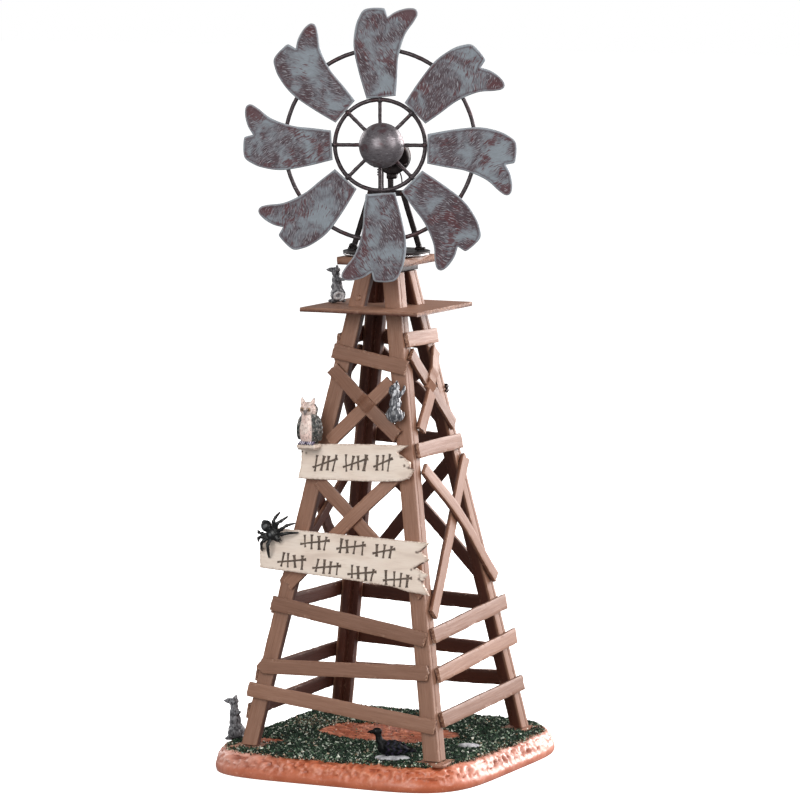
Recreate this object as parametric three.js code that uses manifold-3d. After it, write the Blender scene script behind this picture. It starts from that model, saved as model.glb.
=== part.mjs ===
// Tabletop windmill ornament: a tapering timber tower on a cast earth base, with a deck,
// two painted signs, six small animals, a swivelling head and a driven eight-bladed wheel.
// Millimetres, +Z up. The origin is the centre of the base's underside; the front is -Y.
import * as THREE from 'three';
import { mergeVertices } from 'three/addons/utils/BufferGeometryUtils.js';
import Module from 'manifold-3d';

// ---- driving dimensions ----
const GAP = 0.3; // free space between pieces that rest on each other

const TOWER = {
  halfAtGround: 43.1, // half width of the tower's outer faces, carried down to z = 0
  batter: 0.18345, // how far each face leans in per millimetre of height
  footZ: 10.3,
  topZ: 188.4,
};
const LEG = { width: 6.3, thickness: 3.6 };
const SLAT_THICKNESS = 1.6;

const BASE = {
  halfX: 54.5,
  halfY: 58.2,
  centre: [-1.3, 2.8], // the slab reaches further behind the tower than in front of it
  squareness: 4.8, // superellipse exponent of the plan outline
  height: 9.4,
  edge: 2,
  padHalf: 6,
  padCentre: 38.4,
  padTopZ: 10,
};
const DECK = { half: 24.65, bottomZ: 174, thickness: 1.6 };
const CAP = { half: 14.4, bottomZ: 191.4, thickness: 2.9 };
const PIVOT = { blockHalf: 9, bossRadius: 4.6, spigotRadius: 3, wireRadius: 1.2 };
const SWIVEL = { radius: 16.6, thickness: 1.65 };

const HEAD_TURN = THREE.MathUtils.degToRad(20); // the head rests turned this far from the front
const HUB_Z = 237.5;
const WHEEL_REACH = 24.5; // distance of the wheel's plane in front of the tower's axis
const MAST = {
  footX: 12.7,
  bar: 2.2,
  depth: 2,
  kneeX: 5.9, // where each leaning leg meets the end of the yoke
  yokeHalf: 6.6,
  yokeBottomZ: 216.8,
  yokeTopZ: 219,
  leftPost: [-2.7, -1.1],
  rightPost: [0.5, 2.6],
  plateHalf: 3.4,
  plateBottomZ: 228.6,
  plateTopZ: 241.6,
};
const MOTOR = { halfWidth: 3.4, frontY: -17, noseRadius: 3, noseLength: 1.6 };
const WORM_CASE = { left: 0.8, right: 4.6, frontY: -9, backY: -4, bottomZ: 223.8 };
const CAN = { x: 3.2, z: 231.9, radius: 6.3, frontY: -11.5 };
const SHAFT = { radius: 1, front: 3.1, back: -10.5 };
const WHEEL = { outerRing: 35.6, innerRing: 16.9, wire: 0.8, rimRadius: 7.7, spokes: 8 };
const DOME = { radius: 8.45, skirt: 2, height: 8, boreDepth: 2.4, offset: 0.8 };
const BLADE_THICKNESS = 1;
// Where the hand-set blades stand, clockwise from the top as seen from the front.
const BLADE_BEARINGS = [0, 48.7, 94.7, 138.4, 180, 226, 270.8, 315.2];

// Every blade but the top one leans this far round its own outer end, its root to the left.
const BLADE_LEAN = THREE.MathUtils.degToRad(1.8);
const LEAN_RADIUS = 46;

// ---- materials ----
function paint(color, roughness, metalness = 0) {
  return new THREE.MeshStandardMaterial({ color, roughness, metalness });
}
const TIMBER = () => paint('#98735c', 0.8);
const EARTH = () => paint('#c9805f', 0.85);
const SIGN_PAINT = () => paint('#e2d3c0', 0.75);
const BLACK_METAL = () => paint('#2b2728', 0.45, 0.6);
const STEEL = () => paint('#6b6568', 0.45, 0.8);
const GALVANISED = () => paint('#7e8389', 0.6, 0.5);
const BLACK_RESIN = () => paint('#161616', 0.4);
const GREY_RESIN = () => paint('#76757a', 0.6);
const OWL_RESIN = () => paint('#cdbfb4', 0.6);

// ---- solids ----
const wasm = await Module();
wasm.setup();

function solidOf(geometry) {
  const bare = geometry.clone();
  bare.deleteAttribute('normal');
  bare.deleteAttribute('uv');
  const merged = mergeVertices(bare, 1e-4);
  return new wasm.Manifold(new wasm.Mesh({
    numProp: 3,
    vertProperties: new Float32Array(merged.attributes.position.array),
    triVerts: new Uint32Array(merged.index.array),
  }));
}

function geometryOf(solid) {
  const mesh = solid.getMesh();
  const geometry = new THREE.BufferGeometry();
  const corners = new Float32Array(mesh.vertProperties);
  geometry.setAttribute('position', new THREE.BufferAttribute(corners, 3));
  geometry.setIndex(new THREE.BufferAttribute(new Uint32Array(mesh.triVerts), 1));
  return geometry;
}

function joined(geometries) {
  return geometryOf(geometries.map(solidOf).reduce((whole, piece) => whole.add(piece)));
}

function cut(geometry, tools) {
  const remaining = tools.map(solidOf).reduce((whole, tool) => whole.subtract(tool), solidOf(geometry));
  return geometryOf(remaining);
}

function put(parent, name, geometry, material) {
  const mesh = new THREE.Mesh(geometry, material);
  mesh.name = name;
  parent.add(mesh);
  return mesh;
}

function block(x0, x1, y0, y1, z0, z1) {
  const box = new THREE.BoxGeometry(x1 - x0, y1 - y0, z1 - z0);
  return box.translate((x0 + x1) / 2, (y0 + y1) / 2, (z0 + z1) / 2);
}

// A solid of revolution about Z from [radius, height] points, outer side running upwards.
function turnedSolid(profile, segments) {
  const points = profile.map(([radius, height]) => new THREE.Vector2(radius, height));
  return new THREE.LatheGeometry(points, segments).rotateX(Math.PI / 2);
}

function cylinder(radius, z0, z1, segments = 32) {
  return turnedSolid([[0, z0], [radius, z0], [radius, z1], [0, z1]], segments);
}

function polygon(points) {
  return new THREE.Shape(points.map(([x, y]) => new THREE.Vector2(x, y)));
}

function extruded(shape, depth) {
  return new THREE.ExtrudeGeometry(shape, { depth, bevelEnabled: false, curveSegments: 6 });
}

// An egg of the given centre and radii.
function egg([x, y, z], [rx, ry, rz]) {
  const ball = new THREE.SphereGeometry(1, 14, 10);
  return ball.rotateX(Math.PI / 2).scale(rx, ry, rz).translate(x, y, z);
}

// A round limb of even thickness through the given points.
function limb(points, radius, steps = 6, sides = 6) {
  const path = new THREE.CatmullRomCurve3(points.map((point) => new THREE.Vector3(...point)));
  const section = new THREE.Shape();
  for (let side = 0; side < sides; side += 1) {
    const angle = (side / sides) * 2 * Math.PI;
    const move = side === 0 ? 'moveTo' : 'lineTo';
    section[move](radius * Math.cos(angle), radius * Math.sin(angle));
  }
  return new THREE.ExtrudeGeometry(section, { steps, extrudePath: path, bevelEnabled: false });
}

function spike([x, y, z], radius, height) {
  return new THREE.ConeGeometry(radius, height, 8).rotateX(Math.PI / 2).translate(x, y, z + height / 2);
}

// ---- tower geometry ----
function halfWidthAt(z) {
  return TOWER.halfAtGround - TOWER.batter * z;
}

const SLOPE_STRETCH = Math.hypot(1, TOWER.batter); // length along a face per unit of height

const windmill = new THREE.Group();
const tower = new THREE.Group();
windmill.add(tower);

// Each face has its own flat frame: x runs along the face, y up its slope from the ground line,
// and z straight out of it. Seen from outside, x points right.
const FACE_NAMES = ['front', 'right', 'back', 'left'];
const faces = {};
FACE_NAMES.forEach((name, quarter) => {
  const turned = new THREE.Group();
  turned.rotation.z = (quarter * Math.PI) / 2;
  const face = new THREE.Group();
  face.position.y = -TOWER.halfAtGround;
  face.rotation.x = Math.atan2(1, TOWER.batter);
  turned.add(face);
  tower.add(turned);
  faces[name] = face;
});

// A thin slat along X, `width` wide in Y, standing on z = 0. With a bow it lifts off the surface
// by `bow` at the point `bowX` along it, as a slat bent over another one does.
function slat(length, width, bow = 0, bowX = 0) {
  const half = length / 2;
  const stations = bow > 0 ? 6 : 1;
  const xs = [-half];
  for (let i = 1; i <= stations; i += 1) {
    xs.push(-half + ((bowX + half) * i) / stations);
  }
  for (let i = 1; i <= stations; i += 1) {
    xs.push(bowX + ((half - bowX) * i) / stations);
  }
  const lift = (x) => {
    const end = x < bowX ? -half : half;
    const share = (x - bowX) / (end - bowX);
    return bow * (1 - share ** 2) ** 2;
  };
  const underside = xs.map((x) => [x, lift(x)]);
  const topside = xs.map((x) => [x, lift(x) + SLAT_THICKNESS]).reverse();
  return extruded(polygon([...underside, ...topside]), width)
    .rotateX(Math.PI / 2)
    .translate(0, width / 2, 0);
}

// Length, slope and middle of a slat on a face, from its two end points given as [along, height].
function slatRun([x0, z0], [x1, z1]) {
  const rise = (z1 - z0) * SLOPE_STRETCH;
  return {
    length: Math.hypot(x1 - x0, rise),
    angle: Math.atan2(rise, x1 - x0),
    middle: [(x0 + x1) / 2, ((z0 + z1) / 2) * SLOPE_STRETCH],
  };
}

function nailSlat(faceName, name, from, to, width, bow = 0, bowX = 0) {
  const run = slatRun(from, to);
  const mesh = put(faces[faceName], name, slat(run.length, width, bow, bowX), TIMBER());
  mesh.position.set(run.middle[0], run.middle[1], GAP);
  mesh.rotation.z = run.angle;
  return mesh;
}

// Where the second slat of a cross passes over the first, measured along the second from its middle.
function crossingAlong(flat, bowed) {
  const toPlane = ([x, z]) => [x, z * SLOPE_STRETCH];
  const [a, b, c, d] = [...flat, ...bowed].map(toPlane);
  const run = [b[0] - a[0], b[1] - a[1]];
  const over = [d[0] - c[0], d[1] - c[1]];
  const across = over[0] * run[1] - over[1] * run[0];
  const share = ((a[0] - c[0]) * run[1] - (a[1] - c[1]) * run[0]) / across;
  return (share - 0.5) * Math.hypot(...over);
}

// ---- base ----
function baseOutline() {
  const corners = 72;
  const points = [];
  for (let i = 0; i < corners; i += 1) {
    const angle = (i / corners) * 2 * Math.PI;
    const [c, s] = [Math.cos(angle), Math.sin(angle)];
    const { squareness, centre } = BASE;
    const reach = (Math.abs(c / BASE.halfX) ** squareness + Math.abs(s / BASE.halfY) ** squareness)
      ** (-1 / squareness);
    points.push([centre[0] + reach * c, centre[1] + reach * s]);
  }
  return polygon(points);
}

function makeBase() {
  const slab = new THREE.ExtrudeGeometry(baseOutline(), {
    depth: BASE.height - 2 * BASE.edge,
    bevelThickness: BASE.edge,
    bevelSize: BASE.edge,
    bevelOffset: -BASE.edge,
    bevelSegments: 2,
  }).translate(0, 0, BASE.edge);
  const pads = [];
  for (const sx of [-1, 1]) {
    for (const sy of [-1, 1]) {
      const [x, y] = [sx * BASE.padCentre, sy * BASE.padCentre];
      pads.push(block(x - BASE.padHalf, x + BASE.padHalf, y - BASE.padHalf, y + BASE.padHalf,
        BASE.height - 1, BASE.padTopZ));
    }
  }
  put(tower, 'base_slab', joined([slab, ...pads]), EARTH());
}

// ---- legs, deck and cap ----
// An angle of two battens whose outer corner runs up the tower's corner between two faces, from
// height z0 to z1, grown all round by `grow`. It is drawn at the corner right of the front face.
function cornerAngle(z0, z1, grow = 0) {
  const { width, thickness } = LEG;
  const outline = polygon([
    [grow, -grow],
    [grow, width + grow],
    [-thickness - grow, width + grow],
    [-thickness - grow, thickness + grow],
    [-width - grow, thickness + grow],
    [-width - grow, -grow],
  ]);
  const lean = new THREE.Matrix4().makeShear(0, 0, 0, 0, -TOWER.batter, TOWER.batter);
  const corner = halfWidthAt(z0);
  return extruded(outline, z1 - z0).applyMatrix4(lean).translate(corner, -corner, z0);
}

function makeLegs() {
  const names = ['leg_front_right', 'leg_back_right', 'leg_back_left', 'leg_front_left'];
  names.forEach((name, quarter) => {
    const leg = put(tower, name, cornerAngle(TOWER.footZ, TOWER.topZ), TIMBER());
    leg.rotation.z = (quarter * Math.PI) / 2;
  });
}

function makeDeck() {
  const topZ = DECK.bottomZ + DECK.thickness;
  const board = block(-DECK.half, DECK.half, -DECK.half, DECK.half, DECK.bottomZ, topZ);
  const slots = [0, 1, 2, 3].map((quarter) => (
    cornerAngle(DECK.bottomZ - 1, topZ + 1, GAP).rotateZ((quarter * Math.PI) / 2)
  ));
  put(tower, 'deck', cut(board, slots), TIMBER());
}

function makeCap() {
  const topZ = CAP.bottomZ + CAP.thickness;
  const board = block(-CAP.half, CAP.half, -CAP.half, CAP.half, CAP.bottomZ, topZ);
  const hole = cylinder(PIVOT.bossRadius + GAP, CAP.bottomZ - 1, topZ + 1);
  put(tower, 'cap_board', cut(board, [hole]), TIMBER());

  // The black pivot block closes the tops of the legs, and its boss fills the hole in the cap.
  const blockBottom = TOWER.topZ + GAP;
  const blockTop = CAP.bottomZ - GAP;
  const half = PIVOT.blockHalf;
  const plate = block(-half, half, -half, half, blockBottom, blockTop);
  const boss = cylinder(PIVOT.bossRadius, blockTop - 1, topZ);
  const bore = cylinder(PIVOT.spigotRadius + GAP, blockBottom - 1, topZ + 1);
  put(tower, 'pivot_block', cut(joined([plate, boss]), [bore]), BLACK_METAL());
}

// ---- slats ----
// Ends are [along the face, height]. A slat may run past a corner only where the next face's
// slat stops short of it.
const RAIL_WIDTH = 5.7;
const LOW_RAILS = {
  front: {
    low: [[-40.1, 31.1], [40.1, 22.7]],
    mid: [[-37, 39.8], [35.4, 42.1]],
    high: [[-32.8, 63.6], [32.9, 54.3]],
  },
  right: {
    low: [[-35.4, 24.6], [39.6, 27.2]],
    mid: [[-32.6, 40.8], [40, 45.2]],
    high: [[-31, 55.3], [36.2, 58.9]],
  },
  back: {
    low: [[-36.5, 28.6], [39.4, 27]],
    mid: [[-34.4, 39.2], [37.6, 41.6]],
    high: [[-31.6, 58.2], [34.4, 59.8]],
  },
  left: {
    low: [[-37, 23.6], [37.6, 22.2]],
    mid: [[-34.6, 36], [35.2, 36.4]],
    high: [[-30.8, 61], [30.6, 62]],
  },
};
const TOP_RAILS = {
  front: [[-15.3, 158.7], [16.5, 153.4]],
  right: [[-12.4, 163.6], [14.3, 163.2]],
  back: [[-12.6, 160.2], [14.8, 162.2]],
  left: [[-13.2, 163.4], [12.4, 162]],
};
const BELT_RAILS = {
  right: [[-18.7, 122.8], [20.6, 122.5]],
  back: [[-19.2, 121.8], [21.6, 123.2]],
};
// Each cross is a flat slat with a second one bent over it.
const UPPER_CROSSES = {
  front: { flat: [[-13.7, 124.3], [10.4, 148.5]], bowed: [[-15, 152.4], [14.8, 127.8]] },
  right: { flat: [[-10.8, 158.6], [16.4, 128.6]], bowed: [[11.2, 158.2], [-12.9, 129.4]] },
  back: { flat: [[-11.4, 155], [15.4, 129.6]], bowed: [[10.6, 156.2], [-15.2, 128.6]] },
  left: { flat: [[-14.6, 127], [9.8, 157]], bowed: [[-10.6, 157.6], [14.8, 127.6]] },
};
const LOWER_CROSSES = {
  front: { flat: [[-17, 110.2], [30.4, 70.4]], bowed: [[15.9, 114], [-26.6, 70.3]] },
  right: { flat: [[21.9, 116.4], [-28, 62.4]], bowed: [[-15.4, 116.2], [31.2, 68.5]] },
  back: { flat: [[-17.6, 116], [27.6, 66]], bowed: [[18.4, 115.6], [-28.6, 65.6]] },
  left: { flat: [[-21, 112.6], [26.2, 69.2]], bowed: [[17, 116], [-27.4, 68.6]] },
};
const UPPER_CROSS_WIDTH = 5.2;
const LOWER_CROSS_WIDTH = 5;
const CROSS_SEAT = SLAT_THICKNESS - 0.1; // lift of a bent slat that is fixed down hard on the other
const CROSS_CLEAR = SLAT_THICKNESS + GAP; // lift of a bent slat that stays a separate piece

function makeRails() {
  for (const face of FACE_NAMES) {
    for (const [level, [from, to]] of Object.entries(LOW_RAILS[face])) {
      nailSlat(face, `rail_${face}_${level}`, from, to, RAIL_WIDTH);
    }
    nailSlat(face, `rail_${face}_top`, ...TOP_RAILS[face], RAIL_WIDTH);
  }
  for (const [face, [from, to]] of Object.entries(BELT_RAILS)) {
    nailSlat(face, `rail_${face}_belt`, from, to, RAIL_WIDTH);
  }
}

function makeUpperCross(face, { flat, bowed }) {
  const pieces = [flat, bowed].map(([from, to], order) => {
    const run = slatRun(from, to);
    const bow = order === 1 ? CROSS_SEAT : 0;
    return slat(run.length, UPPER_CROSS_WIDTH, bow, order === 1 ? crossingAlong(flat, bowed) : 0)
      .rotateZ(run.angle)
      .translate(run.middle[0], run.middle[1], GAP);
  });
  put(faces[face], `cross_${face}_upper`, joined(pieces), TIMBER());
}

function makeLowerCross(face, { flat, bowed }) {
  nailSlat(face, `cross_${face}_lower_inner`, ...flat, LOWER_CROSS_WIDTH);
  const over = crossingAlong(flat, bowed);
  nailSlat(face, `cross_${face}_lower_outer`, ...bowed, LOWER_CROSS_WIDTH, CROSS_CLEAR, over);
}

function makeCrosses() {
  for (const face of FACE_NAMES) {
    makeUpperCross(face, UPPER_CROSSES[face]);
    makeLowerCross(face, LOWER_CROSSES[face]);
  }
}

// ---- signs ----
// Outlines in [along the front face, height]. The right-hand ends are broken into splinters.
const UPPER_SIGN = [
  [-24.4, 110.2], [-23.6, 116.4], [-24.3, 123.1], [-4, 124.3], [20.6, 125.1], [16.4, 121.9],
  [21.8, 119], [22, 117], [23.7, 116.2], [21.6, 112.6], [17, 111.4], [-2, 110.5],
];
const LOWER_SIGN = [
  [-36.6, 76.2], [-37.4, 83.6], [-33.6, 91.5], [0, 90.6], [33.2, 89.8], [29.6, 86.4], [33.6, 83.6],
  [28.2, 80.4], [33, 78.2], [31.4, 75.2], [34.6, 70.4], [26, 71.2], [18, 72.8],
];
const UPPER_SIGN_OUT = SLAT_THICKNESS + 3 * GAP;
const LOWER_SIGN_OUT = CROSS_CLEAR + SLAT_THICKNESS + 2 * GAP;

function makeSign(name, outline, standOff) {
  const shape = polygon(outline.map(([x, z]) => [x, z * SLOPE_STRETCH]));
  const sign = put(faces.front, name, extruded(shape, SLAT_THICKNESS), SIGN_PAINT());
  sign.position.z = standOff;
}

// ---- animals ----
function makeOwl() {
  const owl = new THREE.Group();
  owl.position.set(-18.8, -28.1, 122.4);
  tower.add(owl);
  put(owl, 'owl', joined([
    block(-3.8, 3.4, -2.6, 3, 0, 2),
    egg([0, 0.2, 7.6], [4.3, 3.6, 6.4]),
    egg([-0.4, -0.2, 15.4], [3.5, 3.1, 3.5]),
    spike([-2.4, 0.4, 17.4], 1.3, 3.6),
    spike([1.8, 0.8, 17.4], 1.3, 3.6),
  ]), OWL_RESIN());
}

function makeSpider() {
  const spider = new THREE.Group();
  const lowerSignFront = LOWER_SIGN_OUT + SLAT_THICKNESS;
  spider.position.set(-30.8, 89 * SLOPE_STRETCH, lowerSignFront + 2.6);
  faces.front.add(spider);
  const feet = [
    [1.4, 8.1], [4.8, 6.8], [8, 4.6], [9.8, 1.1],
    [-7, 1], [-6.4, -3], [-4.6, -6.4], [-1.4, -8.8],
  ];
  const legs = feet.map(([x, y]) => (
    limb([[x * 0.1, y * 0.1, -0.2], [x * 0.5, y * 0.5, 1], [x, y, -1.8]], 0.55, 5, 5)
  ));
  put(spider, 'spider', joined([
    egg([0, 0, 0], [2.2, 2.3, 1.9]),
    egg([-2.7, 2.8, 0.2], [1.9, 2, 1.7]),
    egg([2.2, -1.5, -0.2], [1.3, 1.2, 1.1]),
    ...legs,
  ]), BLACK_RESIN());
}

function makeCrow() {
  const crow = new THREE.Group();
  crow.position.set(21.4, -40.6, BASE.height + GAP);
  crow.rotation.z = THREE.MathUtils.degToRad(22);
  tower.add(crow);
  put(crow, 'crow', joined([
    block(-5, 6, -3.4, 2.6, 0, 1.2),
    egg([0.6, 0, 4], [5.4, 3, 3.2]),
    limb([[-3, 0, 4.6], [-4.6, 0, 7.4], [-4.8, 0, 10]], 1.6),
    egg([-5.2, 0, 10.3], [2, 1.6, 1.7]),
    egg([-7.2, 0, 10.2], [1.7, 0.7, 0.7]),
    egg([6.2, 0, 3.2], [3.2, 1.6, 0.9]),
  ]), BLACK_RESIN());
}

// A rat reared up on its haunches with both front paws reaching out along `paws`.
function rearedRat(height, girth, paws) {
  const s = height / 16;
  const body = [
    egg([0, 0, 3.4 * s], [2.9 * girth, 2.7 * girth, 3.5 * s]),
    egg([0, -0.1 * s, 8.2 * s], [2 * girth, 1.9 * girth, 4.6 * s]),
    egg([0, -0.4 * s, 13.2 * s], [1.8 * s, 2 * s, 1.7 * s]),
    egg([0, -2.2 * s, 13.4 * s], [0.9 * s, 1.4 * s, 0.8 * s]),
    spike([-1 * s, 0.2 * s, 13.8 * s], 0.75 * s, 2 * s),
    spike([1 * s, 0.2 * s, 13.8 * s], 0.75 * s, 2 * s),
  ];
  const arms = [-1, 1].map((side) => (
    limb([
      [side * 1.2 * s, 0, 10 * s],
      [paws[0] * 0.6 + side * 0.5, paws[1] * 0.6, 10.4 * s],
      [...paws, 10.6 * s],
    ], 0.75 * s)
  ));
  return joined([...body, ...arms]);
}

function makeRats() {
  const onBase = put(tower, 'rat_base', rearedRat(17.2, 1.1, [3.2, 2.5]), GREY_RESIN());
  onBase.position.set(-49.2, -30.8, BASE.height + GAP);
  onBase.rotation.z = THREE.MathUtils.degToRad(-75);

  const onDeck = put(tower, 'rat_deck', rearedRat(14.4, 1.2, [2.8, 2.8]), GREY_RESIN());
  onDeck.position.set(-19.6, -2.6, DECK.bottomZ + DECK.thickness + GAP);
  onDeck.rotation.z = THREE.MathUtils.degToRad(-65);

  // The third one climbs the front face of the right-hand front leg, seen from behind.
  const climbing = put(faces.front, 'rat_climbing', joined([
    egg([0, -3.6, 0], [3, 4, 2.2]),
    egg([0.2, 2.4, 0], [2.3, 3.8, 2]),
    egg([-0.2, 6.6, 0], [1.6, 1.9, 1.6]),
    limb([[-1.6, 3.6, 0], [-2.8, 5.4, -0.6], [-2.6, 7.2, -1.4]], 0.7),
    limb([[1.6, 3.6, 0], [2.8, 5.2, -0.6], [2.8, 6.8, -1.4]], 0.7),
  ]), GREY_RESIN());
  climbing.position.set(14.2, 139.8 * SLOPE_STRETCH, SLAT_THICKNESS + 3.4);
}

// ---- swivelling head ----
const head = new THREE.Group();
head.rotation.z = HEAD_TURN;
windmill.add(head);

function makeSwivel() {
  const bottom = CAP.bottomZ + CAP.thickness + GAP;
  const top = bottom + SWIVEL.thickness;
  const spigotEnd = TOWER.topZ - 1.4;
  put(head, 'swivel_plate', turnedSolid([
    [PIVOT.wireRadius, spigotEnd], [PIVOT.spigotRadius, spigotEnd], [PIVOT.spigotRadius, bottom],
    [SWIVEL.radius, bottom], [SWIVEL.radius, top],
    [PIVOT.wireRadius, top], [PIVOT.wireRadius, spigotEnd],
  ], 48), BLACK_METAL());
  return top;
}

// Two legs lean together under a yoke, and two posts carry a plate above it for the motor.
function makeMast(plateTop) {
  const { footX, bar, depth, kneeX, yokeHalf, yokeBottomZ, yokeTopZ } = MAST;
  const { leftPost, rightPost, plateHalf, plateBottomZ, plateTopZ } = MAST;
  const footZ = plateTop + GAP;
  const [front, back] = [-depth / 2, depth / 2];
  const legs = [-1, 1].map((side) => (
    extruded(polygon([
      [side * (footX - bar / 2), footZ], [side * (footX + bar / 2), footZ],
      [side * (kneeX + bar / 2), yokeTopZ], [side * (kneeX - bar / 2), yokeTopZ],
    ]), depth).rotateX(Math.PI / 2).translate(0, back, 0)
  ));
  const yoke = block(-yokeHalf, yokeHalf, front, back, yokeBottomZ, yokeTopZ);
  const posts = [leftPost, rightPost].map(([left, right]) => (
    block(left, right, front, back, yokeTopZ - 1, plateBottomZ + 1)
  ));
  const plate = block(-plateHalf, plateHalf, front, back, plateBottomZ, plateTopZ);
  put(head, 'mast_frame', joined([...legs, yoke, ...posts, plate]), BLACK_METAL());
}

function makeMotor() {
  const { halfWidth, frontY, noseRadius, noseLength } = MOTOR;
  const { plateBottomZ, plateTopZ, depth } = MAST;
  const worm = WORM_CASE;
  const backY = -depth / 2 - GAP;
  const turned = (radius, x, z, fromY, toY, segments) => (
    cylinder(radius, fromY, toY, segments).rotateX(-Math.PI / 2).translate(x, 0, z)
  );
  const gearbox = block(-halfWidth, halfWidth, frontY, backY, plateBottomZ, plateTopZ);
  const wormTop = plateBottomZ + 1;
  const wormCase = block(worm.left, worm.right, worm.frontY, worm.backY, worm.bottomZ, wormTop);
  const can = turned(CAN.radius, CAN.x, CAN.z, CAN.frontY, backY, 32);
  const nose = turned(noseRadius, 0, HUB_Z, frontY - noseLength, frontY + 1, 24);
  const shaftEnd = -WHEEL_REACH - SHAFT.back;
  const bore = turned(SHAFT.radius + GAP, 0, HUB_Z, frontY - noseLength - 1, shaftEnd + GAP, 16);
  put(head, 'gear_motor', cut(joined([gearbox, wormCase, can, nose]), [bore]), BLACK_METAL());
}

// ---- wheel ----
// In the wheel's own frame +Z points forwards along the shaft and +Y up.
const wheel = new THREE.Group();
wheel.position.set(0, -WHEEL_REACH, HUB_Z);
wheel.rotation.x = Math.PI / 2;
head.add(wheel);

function makeWheelFrame() {
  const { outerRing, innerRing, wire, rimRadius, spokes } = WHEEL;
  const rings = [
    new THREE.TorusGeometry(outerRing, wire, 8, 64),
    new THREE.TorusGeometry(innerRing, wire, 8, 40),
  ];
  const rods = [];
  for (let i = 0; i < spokes; i += 1) {
    const rod = new THREE.CylinderGeometry(wire * 0.95, wire * 0.95, outerRing - rimRadius + 1, 8)
      .translate(0, (outerRing + rimRadius - 1) / 2, 0)
      .rotateZ((i / spokes) * 2 * Math.PI);
    rods.push(rod);
  }
  const rim = cylinder(rimRadius, -wire, wire, 40);
  const bore = cylinder(SHAFT.radius + GAP, -wire - 1, wire + 1, 16);
  put(wheel, 'wheel_frame', cut(joined([...rings, ...rods, rim]), [bore]), STEEL());
}

// A domed cap with a short skirt, glued on a little off centre.
function makeHub() {
  const back = WHEEL.wire + GAP;
  const bore = SHAFT.radius + GAP + DOME.offset;
  const shoulder = back + DOME.skirt;
  const boreTop = back + DOME.boreDepth;
  const profile = [[0, boreTop], [bore, boreTop], [bore, back], [DOME.radius, back]];
  const steps = 9;
  for (let i = 0; i < steps; i += 1) {
    const angle = ((i / steps) * Math.PI) / 2;
    profile.push([DOME.radius * Math.cos(angle), shoulder + DOME.height * Math.sin(angle)]);
  }
  profile.push([0, shoulder + DOME.height]);
  put(wheel, 'hub_dome', turnedSolid(profile, 36), STEEL()).position.x = DOME.offset;
  put(wheel, 'rotor_shaft', cylinder(SHAFT.radius, SHAFT.back, SHAFT.front, 16), STEEL());
}

// The top blade: a narrow root by the inner ring, a hollow leading side, a long swept lobe,
// a notch and a blunt second lobe.
function bladeOutline() {
  const through = (points) => points.map(([x, y]) => new THREE.Vector2(x, y));
  const shape = new THREE.Shape();
  shape.moveTo(-4.9, 17.3);
  shape.lineTo(6.1, 18.4);
  shape.splineThru(through([[6.6, 25], [7.1, 33], [9.4, 40.8], [12.7, 45.7], [14.1, 48.1]]));
  shape.splineThru(through([[14.2, 49.6], [12.9, 50.8], [9.8, 50.8], [6, 49.6], [3, 47.6]]));
  shape.lineTo(2.2, 50.2);
  shape.splineThru(through([[1.4, 50.9], [-2.4, 51], [-5.4, 50.5], [-6.8, 49.3]]));
  shape.splineThru(through([[-8.9, 44.5], [-9.7, 36.5], [-7.8, 27], [-4.9, 17.3]]));
  return shape;
}

function makeBlades() {
  const outline = bladeOutline();
  BLADE_BEARINGS.forEach((bearing, i) => {
    const geometry = new THREE.ExtrudeGeometry(outline, {
      depth: BLADE_THICKNESS,
      bevelEnabled: false,
      curveSegments: 3,
    });
    const lean = i === 0 ? 0 : BLADE_LEAN;
    geometry.translate(0, -LEAN_RADIUS, 0).rotateZ(-lean).translate(0, LEAN_RADIUS, 0);
    const blade = put(wheel, `blade_${i + 1}`, geometry, GALVANISED());
    blade.position.z = WHEEL.wire + GAP;
    blade.rotation.z = -THREE.MathUtils.degToRad(bearing);
  });
}

makeBase();
makeLegs();
makeDeck();
makeCap();
makeRails();
makeCrosses();
makeSign('sign_upper', UPPER_SIGN, UPPER_SIGN_OUT);
makeSign('sign_lower', LOWER_SIGN, LOWER_SIGN_OUT);
makeOwl();
makeSpider();
makeCrow();
makeRats();
makeMast(makeSwivel());
makeMotor();
makeWheelFrame();
makeHub();
makeBlades();

export default windmill;
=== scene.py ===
"""Looks of the tabletop windmill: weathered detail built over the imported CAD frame."""

import math
import random

import bmesh
import bpy
import numpy as np
from mathutils import Matrix, Vector, noise
from mathutils.geometry import delaunay_2d_cdt


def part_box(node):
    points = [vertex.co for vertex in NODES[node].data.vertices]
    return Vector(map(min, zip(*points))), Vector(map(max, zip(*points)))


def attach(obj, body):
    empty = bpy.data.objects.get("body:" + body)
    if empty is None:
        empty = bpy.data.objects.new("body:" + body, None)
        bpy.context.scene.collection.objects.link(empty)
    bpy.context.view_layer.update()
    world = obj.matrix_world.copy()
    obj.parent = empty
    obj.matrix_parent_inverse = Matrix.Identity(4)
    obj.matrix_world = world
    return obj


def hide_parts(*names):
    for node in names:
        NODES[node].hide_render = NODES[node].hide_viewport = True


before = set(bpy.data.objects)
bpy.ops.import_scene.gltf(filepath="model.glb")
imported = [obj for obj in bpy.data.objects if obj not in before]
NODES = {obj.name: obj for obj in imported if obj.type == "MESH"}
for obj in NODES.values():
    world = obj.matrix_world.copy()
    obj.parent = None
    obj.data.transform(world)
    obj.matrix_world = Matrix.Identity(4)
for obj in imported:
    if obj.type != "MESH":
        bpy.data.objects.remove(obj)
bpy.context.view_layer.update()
MM = 0.001
STILL = Matrix.Identity(4)
# half the tower's width over its corners at ground level, in mm, how far each side of it draws in per mm
# of height, and the length along its face per mm of height
FOOT_REACH, TAPER = 43.1, 0.18345
SLOPE = math.hypot(1, TAPER)
TURN = 2 * math.pi

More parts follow.
